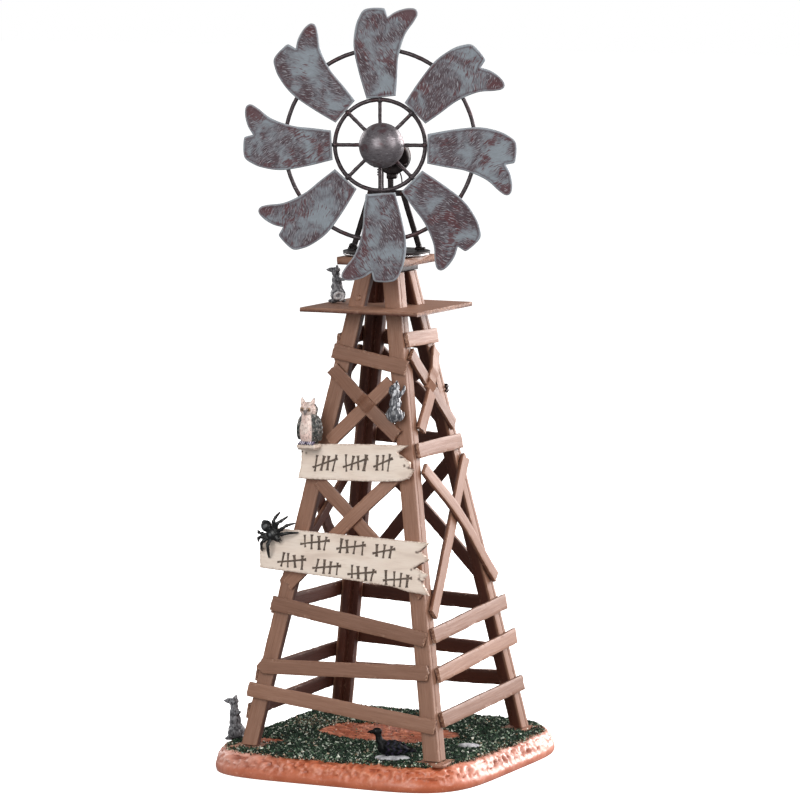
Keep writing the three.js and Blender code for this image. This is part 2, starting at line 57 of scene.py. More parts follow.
# ---------------------------------------------------------------- camera, floor and light
AZIMUTH, ELEVATION = math.radians(25.7), math.radians(6.6)
TARGET = Vector((0, 0, 0.1392))
DISTANCE = 1.7917


def look(obj, azimuth, elevation, distance):
    """Puts an object at a bearing from the target and points it there."""
    level = math.cos(elevation)
    back = Vector((math.sin(azimuth) * level, -math.cos(azimuth) * level, math.sin(elevation)))
    obj.location = TARGET + back * distance
    obj.rotation_mode = "QUATERNION"
    obj.rotation_quaternion = (-back).to_track_quat("-Z", "Y")


def link(obj):
    bpy.context.scene.collection.objects.link(obj)
    return obj


camera = link(bpy.data.objects.new("camera", bpy.data.cameras.new("camera")))
camera.data.lens = 212.4
camera.data.sensor_width = 36
camera.data.shift_x = 0.0168
camera.data.clip_start, camera.data.clip_end = 0.05, 50
look(camera, AZIMUTH, ELEVATION, DISTANCE)
bpy.context.scene.camera = camera


def softbox(name, azimuth, elevation, distance, size, power, colour):
    lamp = bpy.data.lights.new(name, "AREA")
    lamp.shape = "RECTANGLE"
    lamp.size, lamp.size_y = size
    lamp.energy = power
    lamp.color = colour
    look(link(bpy.data.objects.new(name, lamp)), math.radians(azimuth), math.radians(elevation), distance)


softbox("softbox_right", 84, 26, 1.0, (0.5, 0.7), 6.8, (1, 0.96, 0.95))
softbox("softbox_sheen", 152, 16, 1.3, (1.0, 0.8), 27, (1, 0.965, 0.96))
softbox("softbox_front", 2, 20, 1.4, (0.9, 0.9), 12.5, (1, 0.99, 0.97))
softbox("softbox_left", -112, 20, 1.2, (0.6, 0.6), 5, (1, 0.98, 0.97))


def background(tree, colour, strength):
    made = tree.nodes.new("ShaderNodeBackground")
    made.inputs["Color"].default_value = colour
    made.inputs["Strength"].default_value = strength
    return made.outputs[0]


def studio_world():
    """White where the camera sees it, and a weaker fill for the light that it gives."""
    world = bpy.data.worlds.new("studio")
    bpy.context.scene.world = world
    world.use_nodes = True
    tree = world.node_tree
    tree.nodes.clear()
    choose = tree.nodes.new("ShaderNodeMixShader")
    seen = tree.nodes.new("ShaderNodeLightPath").outputs["Is Camera Ray"]
    tree.links.new(seen, choose.inputs["Fac"])
    tree.links.new(background(tree, (0.98, 0.985, 1, 1), 0.29), choose.inputs[1])
    tree.links.new(background(tree, (1, 1, 1, 1), 1.0), choose.inputs[2])
    tree.links.new(choose.outputs[0], tree.nodes.new("ShaderNodeOutputWorld").inputs["Surface"])


studio_world()
bpy.context.scene.view_settings.view_transform = "Standard"
bpy.context.scene.view_settings.look = "None"


# ---------------------------------------------------------------- material helpers
def rgb(r, g, b):
    """sRGB 0-255 to the linear colour a shader wants."""
    def lin(v):
        v /= 255
        return v / 12.92 if v <= 0.04045 else ((v + 0.055) / 1.055) ** 2.4
    return (lin(r), lin(g), lin(b), 1)


class Paint:
    """A node material, built up one call at a time. Texture scales are repeats per metre."""

    def __init__(self, name, roughness=0.6, metallic=0.0, specular=0.5):
        self.mat = bpy.data.materials.new(name)
        self.mat.use_nodes = True
        self.tree = self.mat.node_tree
        self.tree.nodes.clear()
        out = self.node("ShaderNodeOutputMaterial")
        self.bsdf = self.node("ShaderNodeBsdfPrincipled")
        self.tree.links.new(self.bsdf.outputs[0], out.inputs[0])
        self.bsdf.inputs["Roughness"].default_value = roughness
        self.bsdf.inputs["Metallic"].default_value = metallic
        self.bsdf.inputs["Specular IOR Level"].default_value = specular
        self.object = self.node("ShaderNodeTexCoord").outputs["Object"]

    def node(self, kind, **settings):
        made = self.tree.nodes.new(kind)
        for key, value in settings.items():
            setattr(made, key, value)
        return made

    def put(self, socket, value):
        if isinstance(value, bpy.types.NodeSocket):
            self.tree.links.new(value, socket)
        else:
            socket.default_value = value

    def set(self, name, value):
        self.put(self.bsdf.inputs[name], value)
        return self

    def attribute(self, name, part="Fac"):
        return self.node("ShaderNodeAttribute", attribute_name=name).outputs[part]

    def scaled(self, vector, scale, rotation=(0, 0, 0)):
        made = self.node("ShaderNodeMapping")
        self.put(made.inputs["Vector"], vector)
        made.inputs["Rotation"].default_value = [math.radians(a) for a in rotation]
        made.inputs["Scale"].default_value = scale
        return made.outputs[0]

    def noise(self, vector, scale, detail=4.0, rough=0.55, warp=0.0):
        made = self.node("ShaderNodeTexNoise")
        self.put(made.inputs["Vector"], vector)
        made.inputs["Scale"].default_value = scale
        made.inputs["Detail"].default_value = detail
        made.inputs["Roughness"].default_value = rough
        made.inputs["Distortion"].default_value = warp
        return made.outputs[0]

    def ramp(self, factor, stops):
        made = self.node("ShaderNodeValToRGB")
        elements = made.color_ramp.elements
        while len(elements) < len(stops):
            elements.new(0.5)
        for element, (place, colour) in zip(elements, stops):
            element.position = place
            element.color = colour if isinstance(colour, tuple) else (colour, colour, colour, 1)
        self.put(made.inputs[0], factor)
        return made.outputs[0]

    def mix(self, factor, a, b, mode="MIX"):
        made = self.node("ShaderNodeMix", data_type="RGBA", blend_type=mode)
        self.put(made.inputs[0], factor)
        self.put(made.inputs[6], a)
        self.put(made.inputs[7], b)
        return made.outputs[2]

    def math(self, operation, a, b):
        made = self.node("ShaderNodeMath", operation=operation)
        self.put(made.inputs[0], a)
        self.put(made.inputs[1], b)
        return made.outputs[0]

    def bump(self, height, strength, distance, before=None):
        made = self.node("ShaderNodeBump")
        made.inputs["Strength"].default_value = strength
        made.inputs["Distance"].default_value = distance
        self.put(made.inputs["Height"], height)
        if before is not None:
            self.put(made.inputs["Normal"], before)
        self.put(self.bsdf.inputs["Normal"], made.outputs[0])
        return made.outputs[0]


# ---------------------------------------------------------------- mesh helpers
LAYERS = {1: ("FLOAT", "value"), 3: ("FLOAT_VECTOR", "vector"), 4: ("FLOAT_COLOR", "color")}


class Shell:
    """Vertices, faces and per-vertex data of a piece, gathered in millimetres."""

    def __init__(self):
        self.co, self.faces, self.data = [], [], {}

    def vertex(self, co, **values):
        self.co.append(tuple(co))
        for key, value in values.items():
            self.data.setdefault(key, {})[len(self.co) - 1] = value
        return len(self.co) - 1

    def loft(self, rings, caps=False):
        """Skins neighbouring closed rings, and closes both ends if asked."""
        count = len(rings[0])
        for one, two in zip(rings, rings[1:]):
            for k in range(count):
                m = (k + 1) % count
                face = list(dict.fromkeys((one[k], one[m], two[m], two[k])))
                if len(face) > 2:
                    self.faces.append(face)
        if caps:
            self.faces.append(list(reversed(rings[0])))
            self.faces.append(list(rings[-1]))

    def piece(self, name, body, material, replaces, sharp):
        mesh = bpy.data.meshes.new(name)
        mesh.from_pydata((np.array(self.co) * MM).tolist(), [], self.faces)
        for key, values in self.data.items():
            width = np.size(next(iter(values.values())))
            kind, field = LAYERS[width]
            flat = np.zeros((len(self.co), width), np.float32)
            flat[list(values)] = np.reshape(list(values.values()), (-1, width))
            layers = mesh.color_attributes if kind == "FLOAT_COLOR" else mesh.attributes
            layers.new(key, kind, "POINT").data.foreach_set(field, flat.ravel())
        return finish_piece(mesh, name, body, material, replaces, sharp)


def finish_piece(mesh, name, body, material, replaces, sharp):
    """Makes the object and hands it to its body. Edges over `sharp` degrees stay sharp; None keeps facets."""
    mesh.validate()
    bm = bmesh.new()
    bm.from_mesh(mesh)
    bmesh.ops.recalc_face_normals(bm, faces=bm.faces)
    bm.to_mesh(mesh)
    bm.free()
    if sharp is not None:
        mesh.shade_smooth()
        mesh.set_sharp_from_angle(angle=math.radians(sharp))
    obj = link(bpy.data.objects.new(name, mesh))
    obj.data.materials.append(material)
    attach(obj, body)
    if replaces:
        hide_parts(*replaces)
    return obj


def n1(x, seed=0.0):
    """Smooth noise of one number, -1 to 1."""
    return noise.noise(Vector((x, seed * 7.13, 0.37 + seed)))


def n3(x, y, z=0.0):
    return noise.noise(Vector((x, y, z)))


def ease(value, low, high):
    if low == high:
        return float(value >= high)
    t = min(1.0, max(0.0, (value - low) / (high - low)))
    return t * t * (3 - 2 * t)


def rounded(corners, radius, fine):
    """A closed loop through the corners with softened corners and a point about every `fine` mm.
    Returns (a, b, corner weight) for each point, weight 1 at a corner."""
    points = []
    count = len(corners)
    for i in range(count):
        here, nxt = Vector(corners[i]), Vector(corners[(i + 1) % count])
        before = Vector(corners[i - 1])
        into, out = (here - before).normalized(), (nxt - here).normalized()
        r = min(radius, (here - before).length * 0.4, (nxt - here).length * 0.4)
        points.append((*(here - into * r), 0.6))
        points.append((*(here + (out - into) * r * 0.3), 1.0))
        points.append((*(here + out * r), 0.6))
        length = (nxt - here).length - 2 * r
        parts = max(1, round(length / fine))
        for k in range(1, parts):
            points.append((*(here + out * (r + length * k / parts)), 0.0))
    return points


def swept(shell, loop, stations, place, seed, chip, ends, spin, tone, inside):
    """Sweeps the loop along the stations. `place(t, a, b)` gives the point, and `inside(a, b)` is 1 on the
    side that faces into the tower. Edges are chipped, and an end cut is a function of (a, b) giving how far
    that end is worn back, in mm. `spin` starts the grain somewhere else for each piece."""
    length = stations[-1]
    rings = []
    ca = sum(p[0] for p in loop) / len(loop)
    cb = sum(p[1] for p in loop) / len(loop)
    for t in stations:
        ring = []
        for a, b, corner in loop:
            wear = 0.0
            if corner > 0:
                bite = max(0.0, n3(t * 0.33, seed * 3.1 + round(a) * 2.3, round(b) * 1.7) - 0.18)
                bite = bite * chip * 2.2 * corner
                pull = Vector((ca - a, cb - b))
                pull = pull.normalized() * bite if pull.length > 0 else pull
                wear = min(1.0, bite * 3.0 + 0.12 * corner)
            else:
                pull = Vector((0, 0))
            at = t
            for cut, into, far in ((ends[0], 1, t), (ends[1], -1, length - t)):
                if cut:
                    at += into * cut(a, b) * (1 - ease(far, 0, 2.6))
                    wear = max(wear, (1 - ease(far, 0.0, 0.7)) * 0.8)
            grain = (at + spin[0], a + spin[1], b + spin[2])
            ring.append(shell.vertex(place(at, a + pull.x, b + pull.y), grain=grain, wear=float(wear),
                                     tone=float(tone), inside=float(inside(a, b))))
        rings.append(ring)
    shell.loft(rings)
    for ring, t, cut, into in ((rings[0], 0.0, ends[0], 1), (rings[-1], length, ends[1], -1)):
        back = into * cut(ca, cb) if cut else 0.0
        middle = shell.vertex(place(t + back, ca, cb), grain=(t + spin[0], ca + spin[1], cb + spin[2]),
                              wear=0.5, tone=float(tone), inside=0.0)
        for k in range(len(loop)):
            shell.faces.append((ring[k], ring[(k + 1) % len(loop)], middle))


def stations_of(length, step=1.3):
    """Places along a piece, closer together near its ends."""
    near = [0.0, 0.25, 0.6, 1.0, 1.6]
    middle = list(np.linspace(2.4, length - 2.4, max(2, round((length - 4.8) / step))))
    return near + middle + [length - v for v in reversed(near)]


# ---------------------------------------------------------------- timber
def timber_material():
    """Brown stain over grain; worn pale and dark at the edges, and darker on the sides that face inwards."""
    p = Paint("stained_timber")
    grain = p.attribute("grain", "Vector")
    streaks = p.noise(p.scaled(grain, (0.07, 1.5, 1.5)), 1.0, 5, 0.62, 0.25)
    hair = p.noise(p.scaled(grain, (0.22, 6.5, 6.5)), 1.0, 3, 0.6)
    cloud = p.noise(p.scaled(grain, (0.045, 0.16, 0.16)), 1.0, 3, 0.5)
    tone = p.attribute("tone")
    base = p.ramp(p.math("ADD", p.math("MULTIPLY", streaks, 0.72), p.math("MULTIPLY", cloud, 0.3)), [
        (0.28, rgb(124, 86, 66)), (0.44, rgb(144, 103, 81)),
        (0.58, rgb(151, 110, 88)), (0.76, rgb(164, 123, 100))])
    base = p.mix(p.ramp(hair, [(0.3, 0.32), (0.5, 0.0)]), base, rgb(104, 66, 47))
    shade = p.ramp(tone, [(0.0, rgb(205, 196, 190)), (0.5, rgb(235, 232, 230)), (1.0, rgb(255, 255, 255))])
    base = p.mix(1.0, base, shade, "MULTIPLY")
    base = p.mix(p.attribute("inside"), base, p.mix(1.0, base, rgb(142, 100, 82), "MULTIPLY"))
    wear = p.attribute("wear")
    patchy = p.noise(p.scaled(grain, (0.8, 1.4, 1.4)), 1.0, 4, 0.6)
    worn = p.math("MULTIPLY", wear, p.ramp(patchy, [(0.5, 0.0), (0.62, 1.0)]))
    base = p.mix(p.math("MULTIPLY", worn, 0.65), base, rgb(206, 170, 146))
    dark = p.math("MULTIPLY", wear, p.ramp(patchy, [(0.34, 1.0), (0.46, 0.0)]))
    base = p.mix(p.math("MULTIPLY", dark, 0.6), base, rgb(66, 38, 27))
    p.set("Base Color", base)
    p.set("Roughness", p.ramp(streaks, [(0.3, 0.6), (0.75, 0.46)]))
    first = p.bump(streaks, 0.5, 0.00018)
    p.bump(hair, 0.35, 0.00006, first)
    return p.mat


TIMBER = timber_material()


def flat_faces(node):
    """The node's mesh with its flat faces whole again."""
    bm = bmesh.new()
    bm.from_mesh(NODES[node].data)
    bmesh.ops.remove_doubles(bm, verts=bm.verts, dist=2e-6)
    bmesh.ops.dissolve_limit(bm, angle_limit=0.012, verts=bm.verts, edges=bm.edges)
    return bm


def slats_in(node):
    """Every slat of a node, found by its end faces: start, direction, width and outward vectors,
    length, width, thickness and the lift of its underside along it. Millimetres."""
    bm = flat_faces(node)
    ends = []
    for face in bm.faces:
        if len(face.verts) != 4:
            continue
        edges = sorted(face.edges, key=lambda e: e.calc_length())
        short, wide = edges[0].calc_length() / MM, edges[-1].calc_length() / MM
        if 1.5 < short < 1.7 and 4 < wide < 8 and edges[1].calc_length() / MM < 1.7:
            side = (edges[-1].verts[0].co - edges[-1].verts[1].co).normalized()
            ends.append((face.calc_center_median() / MM, face.normal.copy(), side, wide, short))
    corners = [v.co / MM for v in bm.verts]
    bm.free()
    found = []
    while ends:
        centre, normal, side, wide, thick = ends.pop(0)
        match = min(ends, key=lambda e: (
            (e[1] + normal).length + (e[0] - centre).normalized().cross(normal).length))
        ends.remove(match)
        along = (match[0] - centre).normalized()
        length = (match[0] - centre).length
        out = along.cross(side)
        mid = (match[0] + centre) / 2
        if out.x * mid.x + out.y * mid.y < 0:
            out, side = -out, -side
        stations = {}
        for v in corners:
            r = v - centre
            if abs(abs(r.dot(side)) - wide / 2) < 0.04 and -0.1 < r.dot(along) < length + 0.1:
                key = round(r.dot(along), 1)
                stations[key] = max(stations.get(key, -9), r.dot(out) - thick / 2)
        keys = sorted(stations)
        found.append({"start": centre, "along": along, "side": side, "out": out, "length": length,
                      "width": wide, "thick": thick, "keys": keys,
                      "lifts": [max(0, stations[k]) for k in keys]})
    return found


def ragged(rng, width, depth, point):
    """How far a broken end is worn back across its width, in mm."""
    seed = rng.uniform(0, 90)
    slope = rng.uniform(-0.09, 0.09)
    notch_at, notch = rng.uniform(-0.35, 0.35) * width, rng.choice([0, 0, 1.0, 1.5]) * depth

    def cut(a, b):
        back = 0.45 * depth * (1 + n3(a * 0.75 + seed, b * 0.2))
        back += 0.3 * depth * (1 + n3(a * 2.6, b * 1.1 + seed))
        back += slope * a + notch * max(0.0, 1 - abs(a - notch_at) / 0.5)
        back += point * abs(a) / (width / 2)
        return back
    return cut


# how far the two ends of a few battens come to a point, in mm
POINTED = {"rail_front_mid": (2.6, 0.8), "rail_front_low": (0.5, 0.6), "rail_right_belt": (0.3, 0.5)}


def make_slats(node, seed):
    """Every batten of a node, with its own bow, tone and broken ends."""
    rng = random.Random(seed)
    shell = Shell()
    for number, s in enumerate(slats_in(node)):
        tone = rng.uniform(0.15, 1.0)
        spin = rng.uniform(0, 400)
        warp, bend = rng.uniform(0, 90), rng.uniform(0, 90)
        half, thick = s["width"] / 2, s["thick"] / 2
        loop = rounded([(-half, thick), (-half, -thick), (half, -thick), (half, thick)], 0.16, 1.25)
        keys, lifts = s["keys"], s["lifts"]

        def place(t, a, b, s=s, keys=keys, lifts=lifts, warp=warp, bend=bend, half=half):
            inside = min(max(t, 0), s["length"])
            lift = float(np.interp(inside, keys, lifts)) if len(keys) > 2 else 0.0
            wave = 0.14 * n1(t * 0.06, warp)
            widen = 1 + 0.035 * n1(t * 0.11, bend)
            sway = 0.16 * n1(t * 0.05, bend + 3)
            return s["start"] + s["along"] * t + s["side"] * (a * widen + sway) + s["out"] * (b + lift + wave)

        points = POINTED.get(node, (0.0, 0.0))
        flip = s["along"].x < -0.3 or (abs(s["along"].x) < 0.3 and s["along"].y < 0)
        points = points[::-1] if flip else points
        cuts = (ragged(rng, s["width"], 0.55, points[0]), ragged(rng, s["width"], 0.55, points[1]))
        swept(shell, loop, stations_of(s["length"]), place, seed + number * 13.7, 0.3, cuts,
              (spin, spin * 0.37, spin * 0.11), tone,
              lambda a, b, thick=thick: 1 - ease(b, -thick * 0.9, thick * 0.6))
    shell.piece(node + "_wood", "tower", TIMBER, [node], 32)


def make_leg(node, seed):
    """An angle of two battens with a dark joint down one side of the corner."""
    rng = random.Random(seed)
    co = [v.co / MM for v in NODES[node].data.vertices]
    low, high = min(v.z for v in co), max(v.z for v in co)
    foot = [v for v in co if v.z < low + 0.01]
    top = [v for v in co if v.z > high - 0.01]
    sx, sy = (1 if foot[0].x > 0 else -1), (1 if foot[0].y > 0 else -1)
    reach0, reach1 = max(abs(v.x) for v in foot), max(abs(v.x) for v in top)
    inner = sorted({round(reach1 - abs(v.x), 2) for v in top})
    thick, wide = inner[1], inner[-1]
    joint = 1.9
    outline = [(0, 0), (0, joint), (0.55, joint + 0.14), (0, joint + 0.3), (0, wide), (thick, wide),
               (thick, thick), (wide, thick), (wide, 0)]
    loop = rounded(outline, 0.14, 1.3)
    height = high - low
    warp = rng.uniform(0, 90)

    def place(t, a, b):
        reach = reach0 + (reach1 - reach0) * t / height
        da, db = a + 0.12 * n1(t * 0.05, warp), b + 0.12 * n1(t * 0.05, warp + 5)
        return Vector((sx * (reach - da), sy * (reach - db), low + t))

    shell = Shell()
    spin = rng.uniform(0, 300)
    swept(shell, loop, stations_of(height, 1.6), place, seed, 0.22, (None, None), (spin, spin * 0.3, 0),
          rng.uniform(0.5, 0.85), lambda a, b: float(min(a, b) > 0.17))
    shell.piece(node + "_wood", "tower", TIMBER, [node], 32)


def make_board(node, seed, name, across, worn):
    """A square board, grain along X, with sawn edges."""
    rng = random.Random(seed)
    low, high = (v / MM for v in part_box(node))
    length, width = high.x - low.x, high.y - low.y
    loop = rounded([(low.y, high.z), (low.y, low.z), (high.y, low.z), (high.y, high.z)], 0.2, across)
    edge_seed = rng.uniform(0, 50)

    def place(t, a, b):
        share = (a - low.y) / width
        nibble = worn * (0.35 * (1 + n3(t * 0.5, edge_seed, b * 0.8))
                         + 0.3 * max(0, n3(t * 2.3, edge_seed + 4, b * 0.5)))
        if share < 0.02:
            a += nibble
        elif share > 0.98:
            a -= nibble
        return Vector((low.x + t, a, b + 0.07 * n3(t * 0.05, a * 0.05, edge_seed)))

    def cut(a, b):
        return worn * (0.5 * (1 + n3(a * 0.6, b * 0.7, edge_seed + 9))
                       + 0.55 * max(0, n3(a * 1.9, b, edge_seed + 2)))

    shell = Shell()
    spin = rng.uniform(0, 300)
    swept(shell, loop, stations_of(length, 1.1), place, seed, 0.3, (cut, cut), (spin, spin * 0.3, 0), 0.75,
          lambda a, b: float(b < low.z + 0.25))
    shell.piece(name, "tower", TIMBER, [node], 32)


seed = 11
for node in sorted(NODES):
    seed += 7
    if node.startswith(("rail_", "cross_")):
        make_slats(node, seed)
    elif node.startswith("leg_"):
        make_leg(node, seed)
make_board("deck", 5, "deck_board", 2.0, 0.35)
make_board("cap_board", 8, "cap_board_wood", 1.6, 0.7)


# ---------------------------------------------------------------- flat plates: signs and blades
# the tower's front face: x runs along it, y up its slope from the ground line and z straight out
FRONT = Matrix.Translation((0, -FOOT_REACH, 0)) @ Matrix.Rotation(math.atan2(1, TAPER), 4, "X")


def outline_of(node, matrix, corner, fine):
    """The front outline of a plate node in the frame `matrix`, curves smoothed and corners kept."""
    bm = flat_faces(node)
    inverse = matrix.inverted()
    normal = (matrix.to_3x3() @ Vector((0, 0, 1))).normalized()
    face = max(bm.faces, key=lambda f: f.calc_area() if f.normal.dot(normal) > 0.99 else 0)
    loop = [inverse @ (v.co / MM) for v in face.verts]
    depth = max(v.z for v in loop)
    bm.free()
    count = len(loop)
    flat = [Vector((v.x, v.y)) for v in loop]
    sharp = []
    for i in range(count):
        a, b = flat[i] - flat[i - 1], flat[(i + 1) % count] - flat[i]
        sharp.append(a.angle(b) > math.radians(corner))
    points = []
    for i in range(count):
        p0, p1, p2, p3 = flat[i - 1], flat[i], flat[(i + 1) % count], flat[(i + 2) % count]
        out = (p2 - p1) * 0.5 if sharp[i] else (p2 - p0) * 0.5
        into = (p2 - p1) * 0.5 if sharp[(i + 1) % count] else (p3 - p1) * 0.5
        scale = (p2 - p1).length
        out, into = out.normalized() * scale, into.normalized() * scale
        parts = max(1, round(scale / fine))
        for k in range(parts):
            t = k / parts
            a, b = 2 * t ** 3 - 3 * t ** 2 + 1, t ** 3 - 2 * t ** 2 + t
            c, d = -2 * t ** 3 + 3 * t ** 2, t ** 3 - t ** 2
            points.append(p1 * a + out * b + p2 * c + into * d)
    return points, depth


def plate(shell, outline, matrix, front, thick, step, relief, values, rounding):
    """A plate whose two sides are filled with a fine net, with rounded edges. `front` is the height of
    its front side in the frame, `relief(x, y, d)` raises it, and `values(x, y, d)` gives its data."""
    low = Vector((min(p.x for p in outline), min(p.y for p in outline)))
    high = Vector((max(p.x for p in outline), max(p.y for p in outline)))
    border = np.array([(p.x, p.y) for p in outline])
    following = np.roll(border, -1, axis=0)

    def edge_distance(points):
        a, b = border[None], following[None]
        p = points[:, None]
        run = b - a
        t = np.clip(((p - a) * run).sum(-1) / np.maximum((run * run).sum(-1), 1e-9), 0, 1)
        return np.sqrt((((a + run * t[..., None]) - p) ** 2).sum(-1)).min(-1)

    inner = []
    row = 0
    y = low.y
    while y < high.y:
        x = low.x + (0.5 * step if row % 2 else 0)
        while x < high.x:
            inner.append((x, y))
            x += step
        y += step * 0.87
        row += 1
    inner = np.array(inner)
    inside = np.zeros(len(inner), bool)
    for (x0, y0), (x1, y1) in zip(border, following):
        crosses = (y0 > inner[:, 1]) != (y1 > inner[:, 1])
        if y0 != y1:
            inside ^= crosses & (inner[:, 0] < (x1 - x0) * (inner[:, 1] - y0) / (y1 - y0) + x0)
    inner = inner[inside]
    inner = inner[edge_distance(inner) > 0.38 * step]
    ring = []
    for shift in (0.16, 0.42):
        offset = []
        for i in range(len(outline)):
            ahead = outline[(i + 1) % len(outline)] - outline[i - 1]
            offset.append(outline[i] + Vector((-ahead.y, ahead.x)).normalized() * shift)
        ring += [(p.x, p.y) for p in offset]
    ring = np.array(ring)
    ring = ring[edge_distance(ring) > 0.12]
    cloud = [Vector(p) for p in border] + [Vector(p) for p in ring] + [Vector(p) for p in inner]
    edges = [(i, (i + 1) % len(outline)) for i in range(len(outline))]
    made = delaunay_2d_cdt(cloud, edges, [], 1, 0.004)
    co, faces, origin = made[0], made[2], made[3]
    distance = edge_distance(np.array([(p.x, p.y) for p in co]))
    rim = {}
    for index, sources in enumerate(origin):
        for source in sources:
            if source < len(outline):
                rim[source] = index
    sides = []
    for sign in (1, -1):
        ids = []
        for p, d in zip(co, distance):
            d = float(d)
            drop = 0.0
            if d < rounding:
                drop = rounding * 0.8 * (1 - math.sqrt(max(0.0, 1 - (1 - d / rounding) ** 2)))
            up = relief(p.x, p.y, d) * min(1.0, d / 0.5)
            z = front - thick / 2 + sign * (thick / 2 - drop) + up
            ids.append(shell.vertex(matrix @ Vector((p.x, p.y, z)), **values(p.x, p.y, d)))
        sides.append(ids)
    top, bottom = sides
    for f in faces:
        shell.faces.append([top[i] for i in f])
        shell.faces.append([bottom[i] for i in reversed(f)])
    for i in range(len(outline)):
        a, b = rim.get(i), rim.get((i + 1) % len(outline))
        if a is not None and b is not None and a != b:
            shell.faces.append((top[a], bottom[a], bottom[b], top[b]))


def groove(x, y, path, width):
    """Depth share of a groove that follows the path, 1 in its middle."""
    best = 9.0
    p = Vector((x, y))
    for (x0, y0), (x1, y1) in zip(path, path[1:]):
        a, b = Vector((x0, y0)), Vector((x1, y1))
        t = min(1.0, max(0.0, (p - a).dot(b - a) / (b - a).length_squared))
        best = min(best, (a + (b - a) * t - p).length)
    return max(0.0, 1 - best / width)


def sign_material():
    p = Paint("cream_paint", specular=0.3)
    grain = p.attribute("grain", "Vector")
    cloud = p.noise(p.scaled(grain, (0.05, 0.16, 0.2)), 1.0, 3, 0.5, 0.4)
    fine = p.noise(p.scaled(grain, (0.18, 2.4, 2.4)), 1.0, 4, 0.6)
    base = p.ramp(cloud, [(0.3, rgb(214, 196, 182)), (0.46, rgb(229, 213, 199)), (0.6, rgb(233, 219, 206)),
                          (0.75, rgb(222, 206, 190))])
    base = p.mix(p.ramp(fine, [(0.28, 0.4), (0.46, 0.0)]), base, rgb(190, 164, 146))
    wear = p.attribute("wear")
    patchy = p.noise(p.scaled(grain, (0.9, 0.9, 0.9)), 1.0, 4, 0.65)
    bare = p.math("MULTIPLY", wear, p.ramp(patchy, [(0.42, 0.85), (0.6, 0.0)]))
    base = p.mix(bare, base, rgb(142, 110, 92))
    # darkened in the real cracks of the signs, and in a painted shadow line under the owl's ledge
    base = p.mix(p.attribute("crack"), base, rgb(66, 46, 38))
    p.set("Base Color", base)
    p.set("Roughness", p.ramp(cloud, [(0.3, 0.72), (0.7, 0.55)]))
    first = p.bump(fine, 0.35, 0.00012)
    p.bump(cloud, 0.3, 0.0003, first)
    return p.mat


SIGN_PAINT = sign_material()


def make_sign(node, seed, cracks):
    """A cream board with splintered ends and cracks. Gives the height of its front over the tower face."""
    rng = random.Random(seed)
    outline, front = outline_of(node, FRONT, 24, 0.55)
    right = max(p.x for p in outline)
    left = min(p.x for p in outline)
    ragged_line = []
    for i, p in enumerate(outline):
        ahead = (outline[(i + 1) % len(outline)] - outline[i - 1]).normalized()
        rough = 0.16 * n3(p.x * 0.7, p.y * 0.7, seed) + 0.12 * n3(p.x * 2.1, p.y * 2.1, seed + 3)
        if p.x < left + 3 or p.x > right - 10:
            rough *= 2.2
        ragged_line.append(p + Vector((-ahead.y, ahead.x)) * (abs(rough) + 0.02))

    def relief(x, y, d):
        up = 0.1 * n3(x * 0.06, y * 0.3, seed) + 0.05 * n3(x * 0.25, y * 2.4, seed + 5)
        for path, width in cracks:
            up -= 0.75 * groove(x, y, path, width)
        return up

    def values(x, y, d):
        split = max([groove(x, y, path, width * 1.1) for path, width in cracks] + [0.0])
        return {"grain": (x + seed * 11, y, 0.0), "wear": float(max(0.0, 1 - d / 0.7)),
                "crack": float(ease(split, 0.25, 0.8))}

    shell = Shell()
    plate(shell, ragged_line, FRONT, front, 1.6, 0.75, relief, values, 0.4)
    shell.piece(node + "_board", "tower", SIGN_PAINT, [node], 40)
    return front


UPPER_FRONT = make_sign("sign_upper", 3, [
    ([(21.9, 121.2), (19.2, 122.6), (17.3, 122.4)], 0.4),
    ([(23.5, 118.3), (20.3, 118.9), (18.7, 119.8)], 0.35), ([(-24.4, 122.6), (-21.6, 122.0)], 0.35)])
LOWER_FRONT = make_sign("sign_lower", 6, [
    ([(31.5, 89.6), (29.6, 87.8), (27.8, 87.2)], 0.42), ([(31.0, 83.6), (28.2, 81.7), (26.2, 80.8)], 0.42),
    ([(31.4, 76.5), (29.8, 77.4), (30.2, 79.2)], 0.42), ([(-37.2, 84.6), (-34.2, 85.0)], 0.35)])


def marks_material():
    p = Paint("brushed_brown_paint", 0.7, specular=0.3)
    grain = p.attribute("grain", "Vector")
    dry = p.noise(p.scaled(grain, (0.9, 0.9, 0.9)), 1.0, 5, 0.7)
    thin = p.noise(p.scaled(grain, (0.3, 2.5, 1)), 1.0, 3, 0.6)
    base = p.ramp(dry, [(0.36, rgb(74, 62, 55)), (0.52, rgb(92, 79, 70)), (0.68, rgb(126, 110, 98))])
    p.set("Base Color", p.mix(p.ramp(thin, [(0.55, 0.0), (0.75, 0.5)]), base, rgb(168, 150, 136)))
    p.bump(dry, 0.3, 0.00006)
    return p.mat


MARKS = marks_material()


